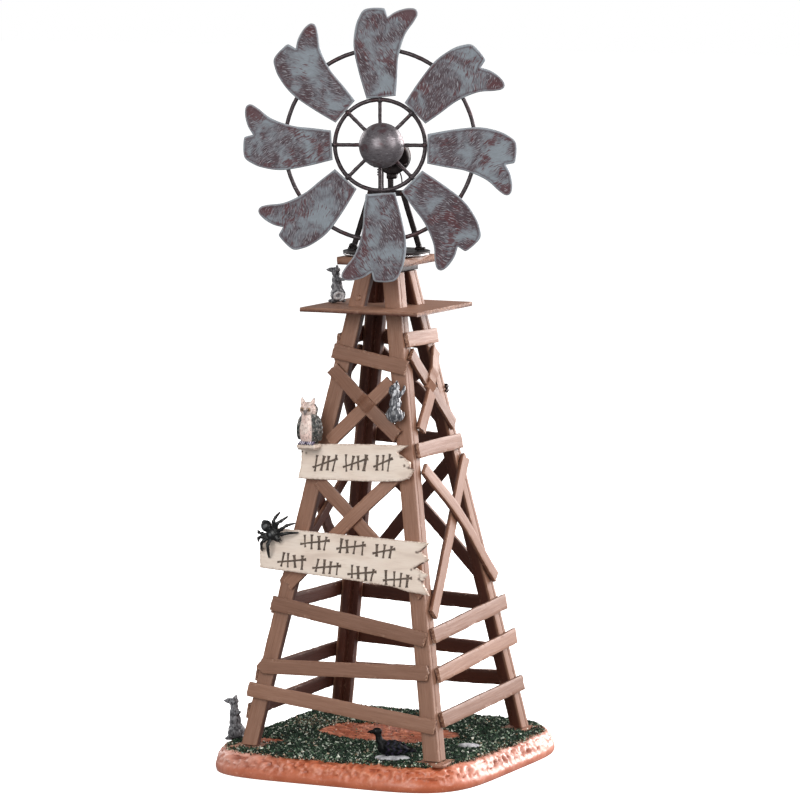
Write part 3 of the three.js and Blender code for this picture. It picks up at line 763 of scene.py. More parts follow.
def stroke(shell, start, end, widths, front, seed):
    """One brush stroke with flared ends, lying on the sign."""
    start, end = Vector(start), Vector(end)
    along = (end - start).normalized()
    across = Vector((-along.y, along.x))
    length = (end - start).length
    count = max(6, round(length / 0.45))
    rows = []
    for i in range(count + 1):
        t = i / count
        flare = 1 + 0.55 * max(0, 1 - t / 0.14) + 0.55 * max(0, 1 - (1 - t) / 0.14)
        half = (widths[0] + (widths[1] - widths[0]) * t) * 0.5 * flare
        half *= 1 + 0.14 * n1(t * length * 1.3, seed)
        sway = 0.1 * n1(t * length * 0.5, seed + 4)
        centre = start + along * (length * t) + across * sway
        row = []
        for a, up in ((-1, -0.12), (-0.94, 0.1), (-0.4, 0.15), (0.4, 0.15), (0.94, 0.1), (1, -0.12)):
            p = centre + across * half * a
            tip = 0.12 * n1(a * 2.2, seed + i) * (i in (0, count))
            p += along * tip
            row.append(shell.vertex(FRONT @ Vector((p.x, p.y, front + up)), grain=(p.x, p.y, seed)))
        rows.append(row)
    shell.loft(rows, caps=True)


def tally_row(shell, left, right, height, groups, front, seed):
    """Groups of upright strokes, each crossed by a slanted one, spread from left to right.
    `left` and `right` are the middles of the row's ends."""
    rng = random.Random(seed)
    left, right = Vector(left), Vector(right)
    units = sum(groups) + 1.1 * (len(groups) - 1)
    step = (right - left).length / units
    along = (right - left).normalized()
    up = Vector((0.0, 1.0))
    at = 0.5
    for size in groups:
        first = left + along * step * at
        for i in range(size):
            base = first + along * (i + rng.uniform(-0.12, 0.12)) * step
            lean = along * rng.uniform(-0.12, 0.12) * height
            tall = height * rng.uniform(0.86, 1.05)
            weight = rng.choice((0.95, 0.75, 1.1))
            stroke(shell, base + up * tall / 2 + lean, base - up * tall / 2 - lean * 0.4,
                   (weight, weight * rng.uniform(0.7, 1.0)), front, rng.uniform(0, 60))
        last = first + along * step * (size - 1)
        if size > 2:
            past = along * step * 0.55
            stroke(shell, first - past - up * height * 0.24, last + past + up * height * 0.26,
                   (0.6, 0.8), front + 0.04, rng.uniform(0, 60))
        at += size + 1.1


shell = Shell()
tally_row(shell, (-18.2, 118.2), (14.6, 120.2), 6.3, [4, 4, 3], UPPER_FRONT, 21)
shell.piece("sign_upper_marks", "tower", MARKS, (), 50)
shell = Shell()
tally_row(shell, (-20.0, 88.8), (19.3, 86.7), 5.4, [4, 4, 3], LOWER_FRONT, 22)
tally_row(shell, (-29.0, 81.4), (27.1, 76.3), 5.4, [4, 4, 4, 4], LOWER_FRONT, 23)
shell.piece("sign_lower_marks", "tower", MARKS, (), 50)


# ---------------------------------------------------------------- metal
def steel_material(name, dark, mid, bright, maroon, rough):
    """Dark metal rubbed bright in streaks, with a few maroon rust stains."""
    p = Paint(name, metallic=0.55, specular=0.5)
    local = p.attribute("local", "Vector")
    rub = p.noise(p.scaled(local, (0.5, 1.9, 0.5), (0, 0, 55)), 1.0, 5, 0.65, 0.4)
    fine = p.noise(p.scaled(local, (0.6, 4.5, 4.5), (0, 0, 55)), 1.0, 3, 0.6)
    stain = p.noise(p.scaled(local, (0.19, 0.19, 0.19)), 1.0, 4, 0.6, 0.5)
    base = p.ramp(rub, [(0.3, rgb(*dark)), (0.46, rgb(*mid)), (0.6, rgb(*mid)), (0.74, rgb(*bright))])
    base = p.mix(p.ramp(fine, [(0.5, 0.0), (0.7, 0.55)]), base, rgb(*dark))
    base = p.mix(p.ramp(stain, [(0.55, 0.0), (0.63, 0.8)]), base, rgb(*maroon))
    p.set("Base Color", base)
    p.set("Roughness", p.ramp(rub, [(0.35, rough[0]), (0.7, rough[1])]))
    first = p.bump(rub, 0.35, 0.0001)
    p.bump(fine, 0.3, 0.00004, first)
    return p.mat


WORN_STEEL = steel_material("worn_steel", (30, 25, 27), (66, 58, 61), (168, 162, 166), (66, 42, 44),
                            (0.5, 0.32))
HUB_STEEL = steel_material("worn_hub_steel", (58, 52, 55), (112, 107, 111), (176, 172, 175), (88, 62, 66),
                           (0.46, 0.3))
BLACK_METAL = steel_material("black_metal", (22, 17, 17), (38, 30, 30), (82, 74, 74), (60, 34, 30),
                             (0.5, 0.36))


def zinc_material():
    """Blue-grey paint, dry-brushed with short fine strokes, with maroon patches and a pale edge."""
    p = Paint("weathered_zinc", metallic=0.1, specular=0.35)
    local = p.attribute("local", "Vector")
    slanted = p.scaled(local, (1, 1, 1), (0, 0, 57))
    bent = p.node("ShaderNodeVectorMath", operation="ADD")
    drift = p.node("ShaderNodeTexNoise")
    p.put(drift.inputs["Vector"], slanted)
    drift.inputs["Scale"].default_value = 0.1
    p.put(bent.inputs[0], slanted)
    p.put(bent.inputs[1], p.scaled(drift.outputs["Color"], (0.0, 6.0, 0.0)))
    strokes = p.noise(p.scaled(bent.outputs[0], (0.24, 1.7, 0.3)), 1.0, 4, 0.62)
    hair = p.noise(p.scaled(bent.outputs[0], (0.42, 3.4, 0.3), (0, 0, 5)), 1.0, 2, 0.6)
    cross = p.noise(p.scaled(bent.outputs[0], (0.5, 4.6, 0.3), (0, 0, -7)), 1.0, 2, 0.6)
    patch = p.noise(p.scaled(local, (0.1, 0.1, 0.1)), 1.0, 3, 0.6, 0.5)
    rust = p.noise(p.scaled(local, (0.13, 0.13, 0.13), (20, 40, 0)), 1.0, 3, 0.6, 0.4)
    bias = p.attribute("bias")
    busy = p.ramp(patch, [(0.4, 0.12), (0.54, 1.0)])
    smear = p.math("ADD", patch, p.math("MULTIPLY", p.math("SUBTRACT", strokes, 0.5), 0.7))
    base = p.ramp(smear, [(0.36, rgb(128, 137, 144)), (0.48, rgb(114, 118, 125)), (0.56, rgb(96, 90, 96)),
                          (0.64, rgb(72, 56, 61))])
    base = p.mix(p.math("MULTIPLY", busy, p.ramp(strokes, [(0.42, 0.9), (0.5, 0.0)])), base, rgb(64, 48, 54))
    base = p.mix(p.math("MULTIPLY", busy, p.ramp(cross, [(0.38, 0.9), (0.45, 0.0)])), base, rgb(48, 35, 41))
    uneven = p.math("MULTIPLY", p.math("SUBTRACT", strokes, 0.5), 0.8)
    rusty = p.math("ADD", p.math("ADD", rust, bias), uneven)
    base = p.mix(p.ramp(rusty, [(0.55, 0.0), (0.63, 0.88)]), base, rgb(80, 44, 48))
    glint = p.math("MULTIPLY", busy, p.ramp(hair, [(0.57, 0.0), (0.64, 0.7)]))
    base = p.mix(glint, base, rgb(164, 166, 172))
    edge = p.attribute("edge")
    wavering = p.math("ADD", edge, p.math("MULTIPLY", p.math("SUBTRACT", hair, 0.5), 0.5))
    base = p.mix(p.ramp(wavering, [(0.5, 0.0), (0.62, 0.6), (0.78, 0.6), (0.98, 0.0)]), base, rgb(70, 52, 58))
    base = p.mix(p.ramp(wavering, [(0.12, 0.85), (0.5, 0.0)]), base, rgb(152, 158, 164))
    p.set("Base Color", base)
    p.set("Roughness", p.ramp(strokes, [(0.35, 0.66), (0.7, 0.5)]))
    first = p.bump(strokes, 0.4, 0.00012)
    p.bump(hair, 0.4, 0.00006, first)
    return p.mat


ZINC = zinc_material()
HEAD = Matrix.Rotation(math.radians(20), 4, "Z")
WHEEL = HEAD @ Matrix.Translation((0, -24.5, 237.5)) @ Matrix.Rotation(math.radians(90), 4, "X")


def tube(shell, path, radius, sides, matrix, seed, closed=False, lump=0.05):
    """A round bar along the path with a hand-made unevenness."""
    path = [Vector(p) for p in path]
    count = len(path)
    rings = []
    for i, p in enumerate(path):
        ahead = path[(i + 1) % count] if (closed or i < count - 1) else p
        back = path[i - 1] if (closed or i > 0) else p
        along = (ahead - back).normalized()
        side = along.cross(Vector((0, 0, 1)))
        side = side.normalized() if side.length > 0.1 else Vector((1, 0, 0))
        up = side.cross(along)
        r = radius(i / max(1, count - 1)) if callable(radius) else radius
        ring = []
        for k in range(sides):
            c, s = math.cos(TURN * k / sides), math.sin(TURN * k / sides)
            wobble = 1 + lump * n3(p.x * 0.7 + c * 0.7, p.y * 0.7 + s * 0.7, p.z * 0.7 + seed)
            co = p + (side * c + up * s) * r * wobble
            ring.append(shell.vertex(matrix @ co, local=(co.x + seed, co.y, co.z)))
        rings.append(ring)
    shell.loft(rings + rings[:1] if closed else rings, caps=not closed)


def turned(shell, profile, matrix, segments, seed, dent):
    """A shape turned about Z from [radius, height] points, with shallow dents."""
    rings = []
    for radius, z in profile:
        if radius < 1e-6:
            rings.append([shell.vertex(matrix @ Vector((0, 0, z)), local=(seed, 0.0, z))] * segments)
            continue
        ring = []
        for k in range(segments):
            x, y = radius * math.cos(TURN * k / segments), radius * math.sin(TURN * k / segments)
            sunk = dent * (n3(x * 0.33 + seed, y * 0.33, z * 0.33) + 0.4 * n3(x + seed, y, z))
            scale = 1 - abs(sunk) / max(radius, 1.0)
            ring.append(shell.vertex(matrix @ Vector((x * scale, y * scale, z)), local=(x + seed, y, z)))
        rings.append(ring)
    shell.loft(rings)


def softened(profile, radius=0.25, parts=4):
    """A turned profile with rounded corners and extra points on its long runs."""
    out = [profile[0]]
    for before, here, after in zip(profile, profile[1:], profile[2:]):
        b, h, a = Vector(before), Vector(here), Vector(after)
        r = min(radius, (h - b).length * 0.45, (a - h).length * 0.45)
        start, end = h + (b - h).normalized() * r, h + (a - h).normalized() * r
        for k in range(parts + 1):
            t = k / parts
            out.append(tuple(start * (1 - t) ** 2 + h * 2 * t * (1 - t) + end * t ** 2))
    out.append(profile[-1])
    fine = [out[0]]
    for a, b in zip(out, out[1:]):
        span = (Vector(b) - Vector(a)).length
        pieces = max(1, round(span / 0.9))
        for k in range(1, pieces + 1):
            fine.append((a[0] + (b[0] - a[0]) * k / pieces, a[1] + (b[1] - a[1]) * k / pieces))
    return fine


# ---------------------------------------------------------------- wheel
BLADE_BEARINGS = (0, 48.7, 94.7, 138.4, 180, 226, 270.8, 315.2)
OUTER_RING, INNER_RING = 35.6, 16.9


def make_blade(number, bearing):
    """A notched blade: rusty towards its pointed tip, with a pale rubbed edge."""
    node = "blade_%d" % number
    place = WHEEL @ Matrix.Rotation(-math.radians(bearing), 4, "Z")
    outline, front = outline_of(node, place, 33, 0.6)
    seed = number * 37.0

    def relief(x, y, d):
        broad = 0.16 * n3(x * 0.11, y * 0.11, seed) + 0.05 * n3(x * 0.5, y * 0.5, seed)
        return broad + 0.07 * ease(d, 0.9, 0.5)

    def values(x, y, d):
        tip = 0.2 * ease(6.5 - math.hypot(x - 13.6, y - 48.2), 0, 5.5)
        waist = 0.09 * ease(5 - abs(y - 24), 0, 5) * n3(seed, 1.0)
        return {"local": (x + seed * 1.7, y + seed, 0.0), "edge": float(min(1.0, d / 1.4)),
                "bias": float(tip + waist)}

    shell = Shell()
    plate(shell, outline, place, front, 1.0, 0.95, relief, values, 0.42)
    shell.piece(node + "_zinc", "wheel", ZINC, [node], 50)


def make_wheel_frame():
    """Two wire rings, eight spokes that flare into the hub disc, and a lump of solder at each crossing."""
    shell = Shell()
    for radius, seed in ((OUTER_RING, 3), (INNER_RING, 8)):
        count = round(radius * 7)
        angles = [TURN * k / count for k in range(count)]
        circle = [(radius * math.cos(angle), radius * math.sin(angle), 0) for angle in angles]
        tube(shell, circle, 0.8, 12, WHEEL, seed, True, 0.1)
    for k in range(8):
        across = Vector((math.sin(math.pi * k / 4), math.cos(math.pi * k / 4), 0))
        rod = [across * (7.2 + i * 0.55) for i in range(52)]
        tube(shell, rod, lambda t: 0.72 + 0.12 * ease(0.06 - t, 0, 0.06), 12, WHEEL, 20 + k, False, 0.12)
        for radius in (INNER_RING, OUTER_RING - 0.2):
            blob = [across * (radius + v) for v in (-1.25, -1.0, -0.6, -0.1, 0.4, 0.8, 1.0)]
            tube(shell, blob, lambda t: 0.25 + 0.85 * max(0, math.sin(math.pi * t)) ** 0.5, 10, WHEEL, 40 + k,
                 False, 0.18)
    half = [(1.32, 0.8), (4.6, 0.8), (5.0, 0.62), (6.6, 0.62), (7.0, 0.8), (7.7, 0.8)]
    disc = half + [(r, -z) for r, z in reversed(half)] + half[:1]
    turned(shell, softened(disc, 0.16), WHEEL, 96, 5, 0.03)
    shell.piece("wheel_rings_and_spokes", "wheel", WORN_STEEL, ["wheel_frame"], 50)


def make_hub():
    """The thin domed cap, dented a little."""
    rim = softened([(2.1, 3.5), (2.1, 1.1), (8.1, 1.1), (8.45, 1.4), (8.45, 2.9)], 0.2)
    crown = [(8.3, 3.15)]
    for k in range(1, 25):
        crown.append((8.4 * math.cos(TURN / 4 * k / 25), 3.1 + 8.0 * math.sin(TURN / 4 * k / 25)))
    shell = Shell()
    place = WHEEL @ Matrix.Translation((0.8, 0, 0))
    turned(shell, [(0.0, 3.5)] + rim + crown + [(0.0, 11.1)], place, 120, 2, 0.07)
    shell.piece("hub_dome_shell", "wheel", HUB_STEEL, ["hub_dome"], 45)


def make_shaft():
    """A plain shaft with a groove for its retaining ring."""
    shell = Shell()
    profile = [(0.0, -10.5), (0.75, -10.5), (1.0, -10.2), (1.0, -4.2), (0.86, -4.0), (0.86, -3.4),
               (1.0, -3.2), (1.0, 2.9), (0.8, 3.1), (0.0, 3.1)]
    turned(shell, softened(profile, 0.08), WHEEL, 32, 7, 0.01)
    shell.piece("shaft_steel", "wheel", WORN_STEEL, ["rotor_shaft"], 40)


for index, bearing in enumerate(BLADE_BEARINGS):
    make_blade(index + 1, bearing)
make_wheel_frame()
make_hub()
make_shaft()


# ---------------------------------------------------------------- head
def bar_between(shell, start, end, width, depth, matrix, seed):
    """A square bar with rounded, slightly uneven edges."""
    start, end = Vector(start), Vector(end)
    along = (end - start).normalized()
    side = Vector((0, 1, 0)).cross(along).normalized()
    out = along.cross(side)
    w, d = width / 2, depth / 2
    loop = rounded([(-w, -d), (w, -d), (w, d), (-w, d)], 0.3, 0.7)
    length = (end - start).length
    rings = []
    count = round(length / 0.8)
    for i in range(count + 1):
        t = length * i / count
        ring = []
        for a, b, corner in loop:
            rough = 0.05 * n3(t * 0.8, a + seed, b)
            co = start + along * t + side * (a + rough) + out * (b + rough)
            ring.append(shell.vertex(matrix @ co, local=(co.x + seed, co.y, co.z)))
        rings.append(ring)
    shell.loft(rings, caps=True)


def rounded_block(shell, low, high, edge, matrix, seed, cells=0.8, rough=0.04):
    """A block with softened edges on a fine net."""
    low, high = Vector(low), Vector(high)
    size = high - low
    bm = bmesh.new()
    whole = Matrix.Translation((low + high) / 2) @ Matrix.Diagonal((*size, 1))
    bmesh.ops.create_cube(bm, size=1.0, matrix=whole)
    bmesh.ops.bevel(bm, geom=bm.edges, offset=edge, segments=3, profile=0.6, affect="EDGES")
    long_edges = [e for e in bm.edges if e.calc_length() > cells * 1.5]
    cuts = max(1, round(max(size) / cells / 2))
    bmesh.ops.subdivide_edges(bm, edges=long_edges, cuts=cuts, use_grid_fill=True)
    index = {}
    for v in bm.verts:
        co = v.co + v.normal * rough * n3(v.co.x * 0.9 + seed, v.co.y * 0.9, v.co.z * 0.9)
        index[v] = shell.vertex(matrix @ co, local=(co.x + seed, co.y, co.z))
    for f in bm.faces:
        shell.faces.append([index[v] for v in f.verts])
    bm.free()


def screw(shell, centre, axis, radius, height, matrix, seed):
    """A pan-headed screw with a raised line where its slot is."""
    turn = Vector(axis).to_track_quat("Z", "Y").to_matrix().to_4x4()
    place = matrix @ Matrix.Translation(centre) @ turn
    profile = [(0.96, 0), (1, 0.35), (0.86, 0.75), (0.5, 1), (0.0, 1.06)]
    profile = [(radius * r, height * z) for r, z in profile]
    turned(shell, softened(profile, radius * 0.1, 2), place, 20, seed, 0.0)
    low = (-radius * 0.8, -radius * 0.12, height * 0.8)
    high = (radius * 0.8, radius * 0.12, height * 1.12)
    rounded_block(shell, low, high, 0.02, place @ Matrix.Rotation(0.6, 4, "Z"), seed)


PLATE_TOP, PLATE_LOW = 196.25, 194.6
FOOT_Z, KNEE_Z = PLATE_TOP + 0.3, 219.0


def polished_material():
    p = Paint("polished_edge", 0.16, 0.95)
    lines = p.noise(p.scaled(p.attribute("local", "Vector"), (0.15, 0.15, 5)), 1.0, 3, 0.6)
    p.set("Base Color", p.ramp(lines, [(0.35, rgb(150, 146, 148)), (0.6, rgb(226, 224, 224))]))
    p.set("Roughness", p.ramp(lines, [(0.3, 0.28), (0.7, 0.14)]))
    p.bump(lines, 0.2, 0.00003)
    return p.mat


def make_swivel():
    """The round plate with its spigot, a turned groove near its edge and a bright lower edge."""
    low, top = PLATE_LOW, PLATE_TOP
    profile = [(1.2, 187.0), (2.7, 187.0), (3.0, 187.4), (3.0, low), (15.9, low), (16.5, low + 0.3),
               (16.5, low + 0.75), (16.1, low + 0.88), (16.1, low + 0.98), (16.6, low + 1.12),
               (16.6, top - 0.12), (16.2, top), (11.0, top), (10.8, top - 0.15), (10.4, top - 0.15),
               (10.2, top), (1.2, top), (1.2, 187.0)]
    shell = Shell()
    turned(shell, softened(profile, 0.1), HEAD, 144, 4, 0.02)
    swivel = shell.piece("swivel_disc", "head", BLACK_METAL, ["swivel_plate"], 40)
    swivel.data.materials.append(polished_material())
    for polygon in swivel.data.polygons:
        reach = math.hypot(polygon.center.x, polygon.center.y) / MM
        if reach > 16.0 and polygon.center.z / MM < low + 0.9:
            polygon.material_index = 1


def make_mast():
    """Two leaning legs on foot plates, with screws and a weld, the yoke, two posts and the motor plate."""
    shell = Shell()
    for side in (-1, 1):
        foot = side * 12.7
        bar_between(shell, (foot, 0, FOOT_Z), (side * 5.9, 0, KNEE_Z), 2.1, 2.0, HEAD, 3 + side)
        rounded_block(shell, (foot - 1.9, -1.7, FOOT_Z), (foot + 1.9, 1.7, FOOT_Z + 0.9), 0.3, HEAD, side + 9,
                      0.6, 0.12)
        screw(shell, (side * 12.5, -1.2, FOOT_Z + 1.3), (0, -0.6, 1), 0.8, 0.6, HEAD, side + 5)
        screw(shell, (side * 5.6, -1.0, 217.9), (0, -1, 0), 0.7, 0.45, HEAD, side + 7)
    for k in range(7):
        x, y, z = -13.3 + 0.75 * (k % 3), -1.6 + 0.8 * (k // 3), FOOT_Z + 0.9 + 0.35 * (k % 2)
        lump = [(x + out, y, z + up) for out, up in ((-0.7, 0), (-0.4, 0.3), (0, 0.45), (0.4, 0.3), (0.7, 0))]
        tube(shell, lump, lambda t: 0.3 + 0.5 * math.sin(math.pi * t), 8, HEAD, k * 3.3, False, 0.35)
    rounded_block(shell, (-6.6, -1.0, 216.8), (6.6, 1.0, 219.0), 0.3, HEAD, 12, 0.8, 0.06)
    rounded_block(shell, (-3.4, -1.0, 228.6), (3.4, 1.0, 241.6), 0.3, HEAD, 13, 0.9)
    rounded_block(shell, (0.5, -1.0, 218.4), (2.6, 1.0, 229.4), 0.25, HEAD, 15, 0.8, 0.06)
    shell.piece("mast_bars", "head", BLACK_METAL, ["mast_frame"], 45)
    shell = Shell()
    rounded_block(shell, (-2.7, -1.0, 218.4), (-1.1, 1.0, 229.4), 0.25, HEAD, 14, 0.8, 0.06)
    shell.piece("mast_bright_post", "head", WORN_STEEL, ["mast_frame"], 45)


def on_y(x, z):
    """A frame whose +Z runs forwards, towards the wheel, from the point (x, z) of the head."""
    return HEAD @ Matrix.Translation((x, 0, z)) @ Matrix.Rotation(math.radians(90), 4, "X")


def make_motor():
    """Two gearbox halves on a thin gasket, the worm case with its lugs, the ribbed can and the nose."""
    shell = Shell()
    rounded_block(shell, (-3.4, -17.0, 228.6), (3.4, -9.3, 241.6), 0.5, HEAD, 21, 0.9)
    rounded_block(shell, (-3.1, -9.2, 228.9), (3.1, -9.0, 241.3), 0.08, HEAD, 22, 0.9)
    rounded_block(shell, (-3.4, -8.9, 228.6), (3.4, -1.3, 241.6), 0.5, HEAD, 23, 0.9)
    rounded_block(shell, (0.8, -9.0, 223.8), (4.6, -4.0, 229.4), 0.6, HEAD, 24, 0.7, 0.12)
    rounded_block(shell, (1.2, -9.25, 224.6), (2.6, -8.9, 226.0), 0.12, HEAD, 25, 0.4, 0.05)
    rounded_block(shell, (2.9, -9.25, 226.3), (4.2, -8.9, 227.7), 0.12, HEAD, 26, 0.4, 0.05)
    can = softened([(0.0, 1.4), (5.9, 1.4), (6.3, 1.8), (6.3, 3.4), (6.05, 3.6), (6.05, 4.2), (6.3, 4.4),
                    (6.3, 9.4), (6.05, 9.6), (6.05, 10.1), (6.3, 10.3), (6.3, 11.0), (5.7, 11.5), (3.0, 11.5),
                    (2.8, 11.1), (0.0, 11.1)], 0.14)
    turned(shell, can, on_y(3.2, 231.9), 80, 6, 0.02)
    nose = softened([(1.32, 16.5), (1.32, 18.6), (2.7, 18.6), (3.0, 18.3), (3.0, 17.2), (3.4, 17.05),
                     (3.4, 16.6), (1.32, 16.6)], 0.1)
    turned(shell, nose, on_y(0, 237.5), 48, 8, 0.01)
    for x in (-2.6, 2.6):
        for z in (229.6, 240.5):
            screw(shell, (x, -17.0, z), (0, -1, 0), 0.75, 0.5, HEAD, x + z)
    shell.piece("motor_case", "head", BLACK_METAL, ["gear_motor"], 45)


def make_terminals():
    """Two solder tags, a thin wire, a screw and a few small metal tabs on the motor."""
    shell = Shell()
    for x in (5.4, 8.0):
        rounded_block(shell, (x - 0.7, -12.3, 229.3), (x + 0.7, -11.3, 229.8), 0.12, HEAD, x, 0.5)
        rounded_block(shell, (x - 0.25, -13.4, 229.35), (x + 0.25, -12.2, 229.7), 0.08, HEAD, x + 2, 0.5)
    wire = []
    for k in range(25):
        t = k / 24
        wire.append((4.3 + 2.3 * t + 0.7 * math.sin(math.pi * t), -9.3 + 1.6 * t, 228.9 - 6.6 * t))
    tube(shell, wire, 0.28, 8, HEAD, 31, False, 0.06)
    screw(shell, (4.5, -6.4, 226.1), (1, 0, 0), 0.8, 0.7, HEAD, 32)
    for k in range(3):
        z = 224.6 + 0.95 * k
        end = (-2.6 - 0.2 * (k % 2), -0.2, z + 0.55)
        rounded_block(shell, (-3.5, -1.4, z), end, 0.15, HEAD, 33 + k, 0.4, 0.08)
    rounded_block(shell, (-4.1, -7.0, 230.6), (-3.3, -5.2, 231.6), 0.2, HEAD, 36, 0.5, 0.1)
    shell.piece("motor_terminals", "head", WORN_STEEL, (), 45)


def make_pivot():
    """The black block that closes the neck: a plate with four screws and a collar round the spigot."""
    shell = Shell()
    rounded_block(shell, (-9, -9, 188.7), (9, 9, 191.1), 0.35, STILL, 41, 1.2, 0.05)
    for x in (-7.2, 7.2):
        for y in (-7.2, 7.2):
            screw(shell, (x, y, 188.75), (0, 0, -1), 0.9, 0.5, STILL, x + 3 * y)
    collar = [(3.3, 190.9), (3.3, 194.2), (3.6, 194.3), (4.4, 194.3), (4.6, 194.1), (4.6, 190.9)]
    turned(shell, softened(collar, 0.1), STILL, 48, 12, 0.01)
    shell.piece("pivot_fitting", "tower", BLACK_METAL, ["pivot_block"], 45)


def make_clip():
    """A small dark spring clip on the outer corner of the right-hand back leg."""
    shell = Shell()
    out = FOOT_REACH - TAPER * 142.8
    for low, high, edge, seed, rough in (((-1.0, 0.1, 141.1), (0.5, 1.3, 144.5), 0.2, 51, 0.1),
                                         ((0.1, -1.4, 141.6), (0.9, 1.2, 142.4), 0.15, 52, 0.08),
                                         ((0.1, -1.2, 143.2), (0.8, 1.2, 143.9), 0.15, 53, 0.08)):
        corner = Vector((out, out, 0))
        rounded_block(shell, corner + Vector(low), corner + Vector(high), edge, STILL, seed, 0.5, rough)
    shell.piece("leg_clip", "tower", BLACK_METAL, (), 45)


make_swivel()
make_mast()
make_motor()
make_terminals()
make_pivot()
make_clip()


# ---------------------------------------------------------------- base
MID_X, MID_Y = -1.3, 2.8


HALF_X, HALF_Y, SQUARENESS = 54.5, 58.2, 4.8
TURF_Z = 9.4


def reach_of(angle):
    """Distance of the slab's outline from its middle."""
    x, y = abs(math.cos(angle) / HALF_X), abs(math.sin(angle) / HALF_Y)
    return (x ** SQUARENESS + y ** SQUARENESS) ** (-1 / SQUARENESS)


def from_edge(x, y):
    """The bearing of a point from the slab's middle, and how far it lies inside the outline."""
    angle = math.atan2(y - MID_Y, x - MID_X)
    return angle, reach_of(angle) - math.hypot(x - MID_X, y - MID_Y)


def billow(x, y, z):
    """Rounded lumps at three sizes, 0 in the creases."""
    return (0.95 * abs(n3(x * 0.28, y * 0.28, z * 0.34)) + 0.55 * abs(n3(x * 0.7, y * 0.7, z * 0.8 + 9))
            + 0.28 * abs(n3(x * 1.7, y * 1.7, z * 1.9 + 4)))


def turf_margin(angle):
    """How far the turf stops short of the outline, in mm."""
    return 5.0 + 1.4 * n1(angle * 1.4, 3) + 1.1 * n1(angle * 6, 5) + 0.8 * n1(angle * 21, 6)


def soil(x, y):
    """1 on the bare soil in the middle, 0 on the turf."""
    wob = 0.16 * n3(x * 0.06, y * 0.06, 3) + 0.1 * n3(x * 0.2, y * 0.2, 8) + 0.05 * n3(x * 0.6, y * 0.6, 5)
    far = ((x + 2.4) / 28.0) ** 2 + ((y - 7.0) / 20.0) ** 2
    by_foot = ((x + 37.5) / 8.5) ** 2 + ((y + 27.5) / 6.5) ** 2
    return max(ease(1.0 + wob - far ** 0.5, -0.04, 0.06), ease(0.8 + wob - by_foot ** 0.5, -0.04, 0.06))


def earth_material():
    p = Paint("painted_earth", specular=0.5)
    spot = p.object
    tint = p.attribute("tint", "Color")
    cloud = p.noise(spot, 90, 4, 0.6)
    fine = p.noise(spot, 900, 4, 0.65)
    base = p.mix(p.ramp(cloud, [(0.35, 0.6), (0.6, 0.0)]), tint, rgb(166, 82, 50))
    base = p.mix(p.ramp(fine, [(0.56, 0.0), (0.72, 0.4)]), base, rgb(232, 166, 138))
    # painted shade: darker in the rim's crevices and in the hollows of the bare soil
    base = p.mix(p.math("MULTIPLY", p.attribute("pit"), 0.85), base, rgb(120, 50, 30))
    p.set("Base Color", base)
    p.set("Roughness", p.ramp(cloud, [(0.35, 0.34), (0.65, 0.5)]))
    p.set("Coat Weight", 0.2)
    p.set("Coat Roughness", 0.25)
    first = p.bump(cloud, 0.5, 0.0008)
    p.bump(fine, 0.45, 0.00016, first)
    return p.mat


EARTH = earth_material()
# the slab's edge from its underside up to the turf: how far it lies inside the outline, and its height
PROFILE = [(3.0, 0.0), (1.4, 0.0), (0.7, 0.15), (0.25, 0.6), (0.0, 1.4), (0.0, 2.2), (0.12, 3.0), (0.3, 3.7),
           (0.5, 4.4), (0.7, 5.1), (0.9, 5.8), (1.2, 6.5), (1.6, 7.2), (2.1, 7.8), (2.8, 8.3), (3.6, 8.65),
           (4.5, 8.9), (5.5, 9.1), (6.6, 9.25), (7.8, 9.35), (9.0, TURF_Z)]
TOP_RINGS = 40


def blended(a, b, t):
    return tuple(x + (y - x) * t for x, y in zip(a, b))


def rim_point(angle, inset, z):
    """A point of the slab's rocky edge, with its tint, which carries a painted highlight on the raised lumps
    and a painted glare over the right-hand side and the back and over the front-left corner and left-hand
    side, and the strength of the painted shade in its crevices.
    """
    r = reach_of(angle) - inset
    x, y = MID_X + r * math.cos(angle), MID_Y + r * math.sin(angle)
    rocky = ease(z, 2.6, 4.9) * (0.85 + 0.5 * n1(angle * 2.3, 8))
    bumps = billow(x, y, z)
    sink = max(0.0, rocky * (3.0 * bumps - 0.4))
    sink += 0.25 * (1 + n3(x * 0.09, y * 0.09, z * 0.2)) * (z < 8 and z > 0.3)
    r -= sink * (0.85 if z < 8 else 0.3)
    if z > 6:
        z -= rocky * 1.2 * bumps * ease(z, 6, 8.5) * (1.0 if z < 9.3 else 0.6)
    # painted highlight: the raised lumps of the rocky band are tinted paler, as if lit
    lit = 1 - ease(bumps, 0.1, 0.42)
    tint = blended(rgb(196, 108, 74), rgb(232, 158, 128), 0.8 * lit * rocky)
    # painted glare: a pale pink laid over the right-hand side and the back, and over the front-left corner
    # and left-hand side, stronger on the raised lumps
    bearing = (math.degrees(angle) + 180) % 360 - 180 + 8 * n1(angle * 5, 9)
    glare_side = ease(bearing, -46, -26) * ease(150 - bearing, 0, 60)
    painted_glare = max(0.9 * ease(-bearing, 98, 132), glare_side) * (0.3 + 0.7 * rocky)
    tint = blended(tint, rgb(244, 208, 198), painted_glare * (0.35 + 0.5 * lit))
    co = (MID_X + r * math.cos(angle), MID_Y + r * math.sin(angle), max(0.0, z))
    # the last value is painted shade: how much the crevices between the lumps are darkened
    return co, tint, rocky * ease(bumps, 0.5, 0.85) * 0.6


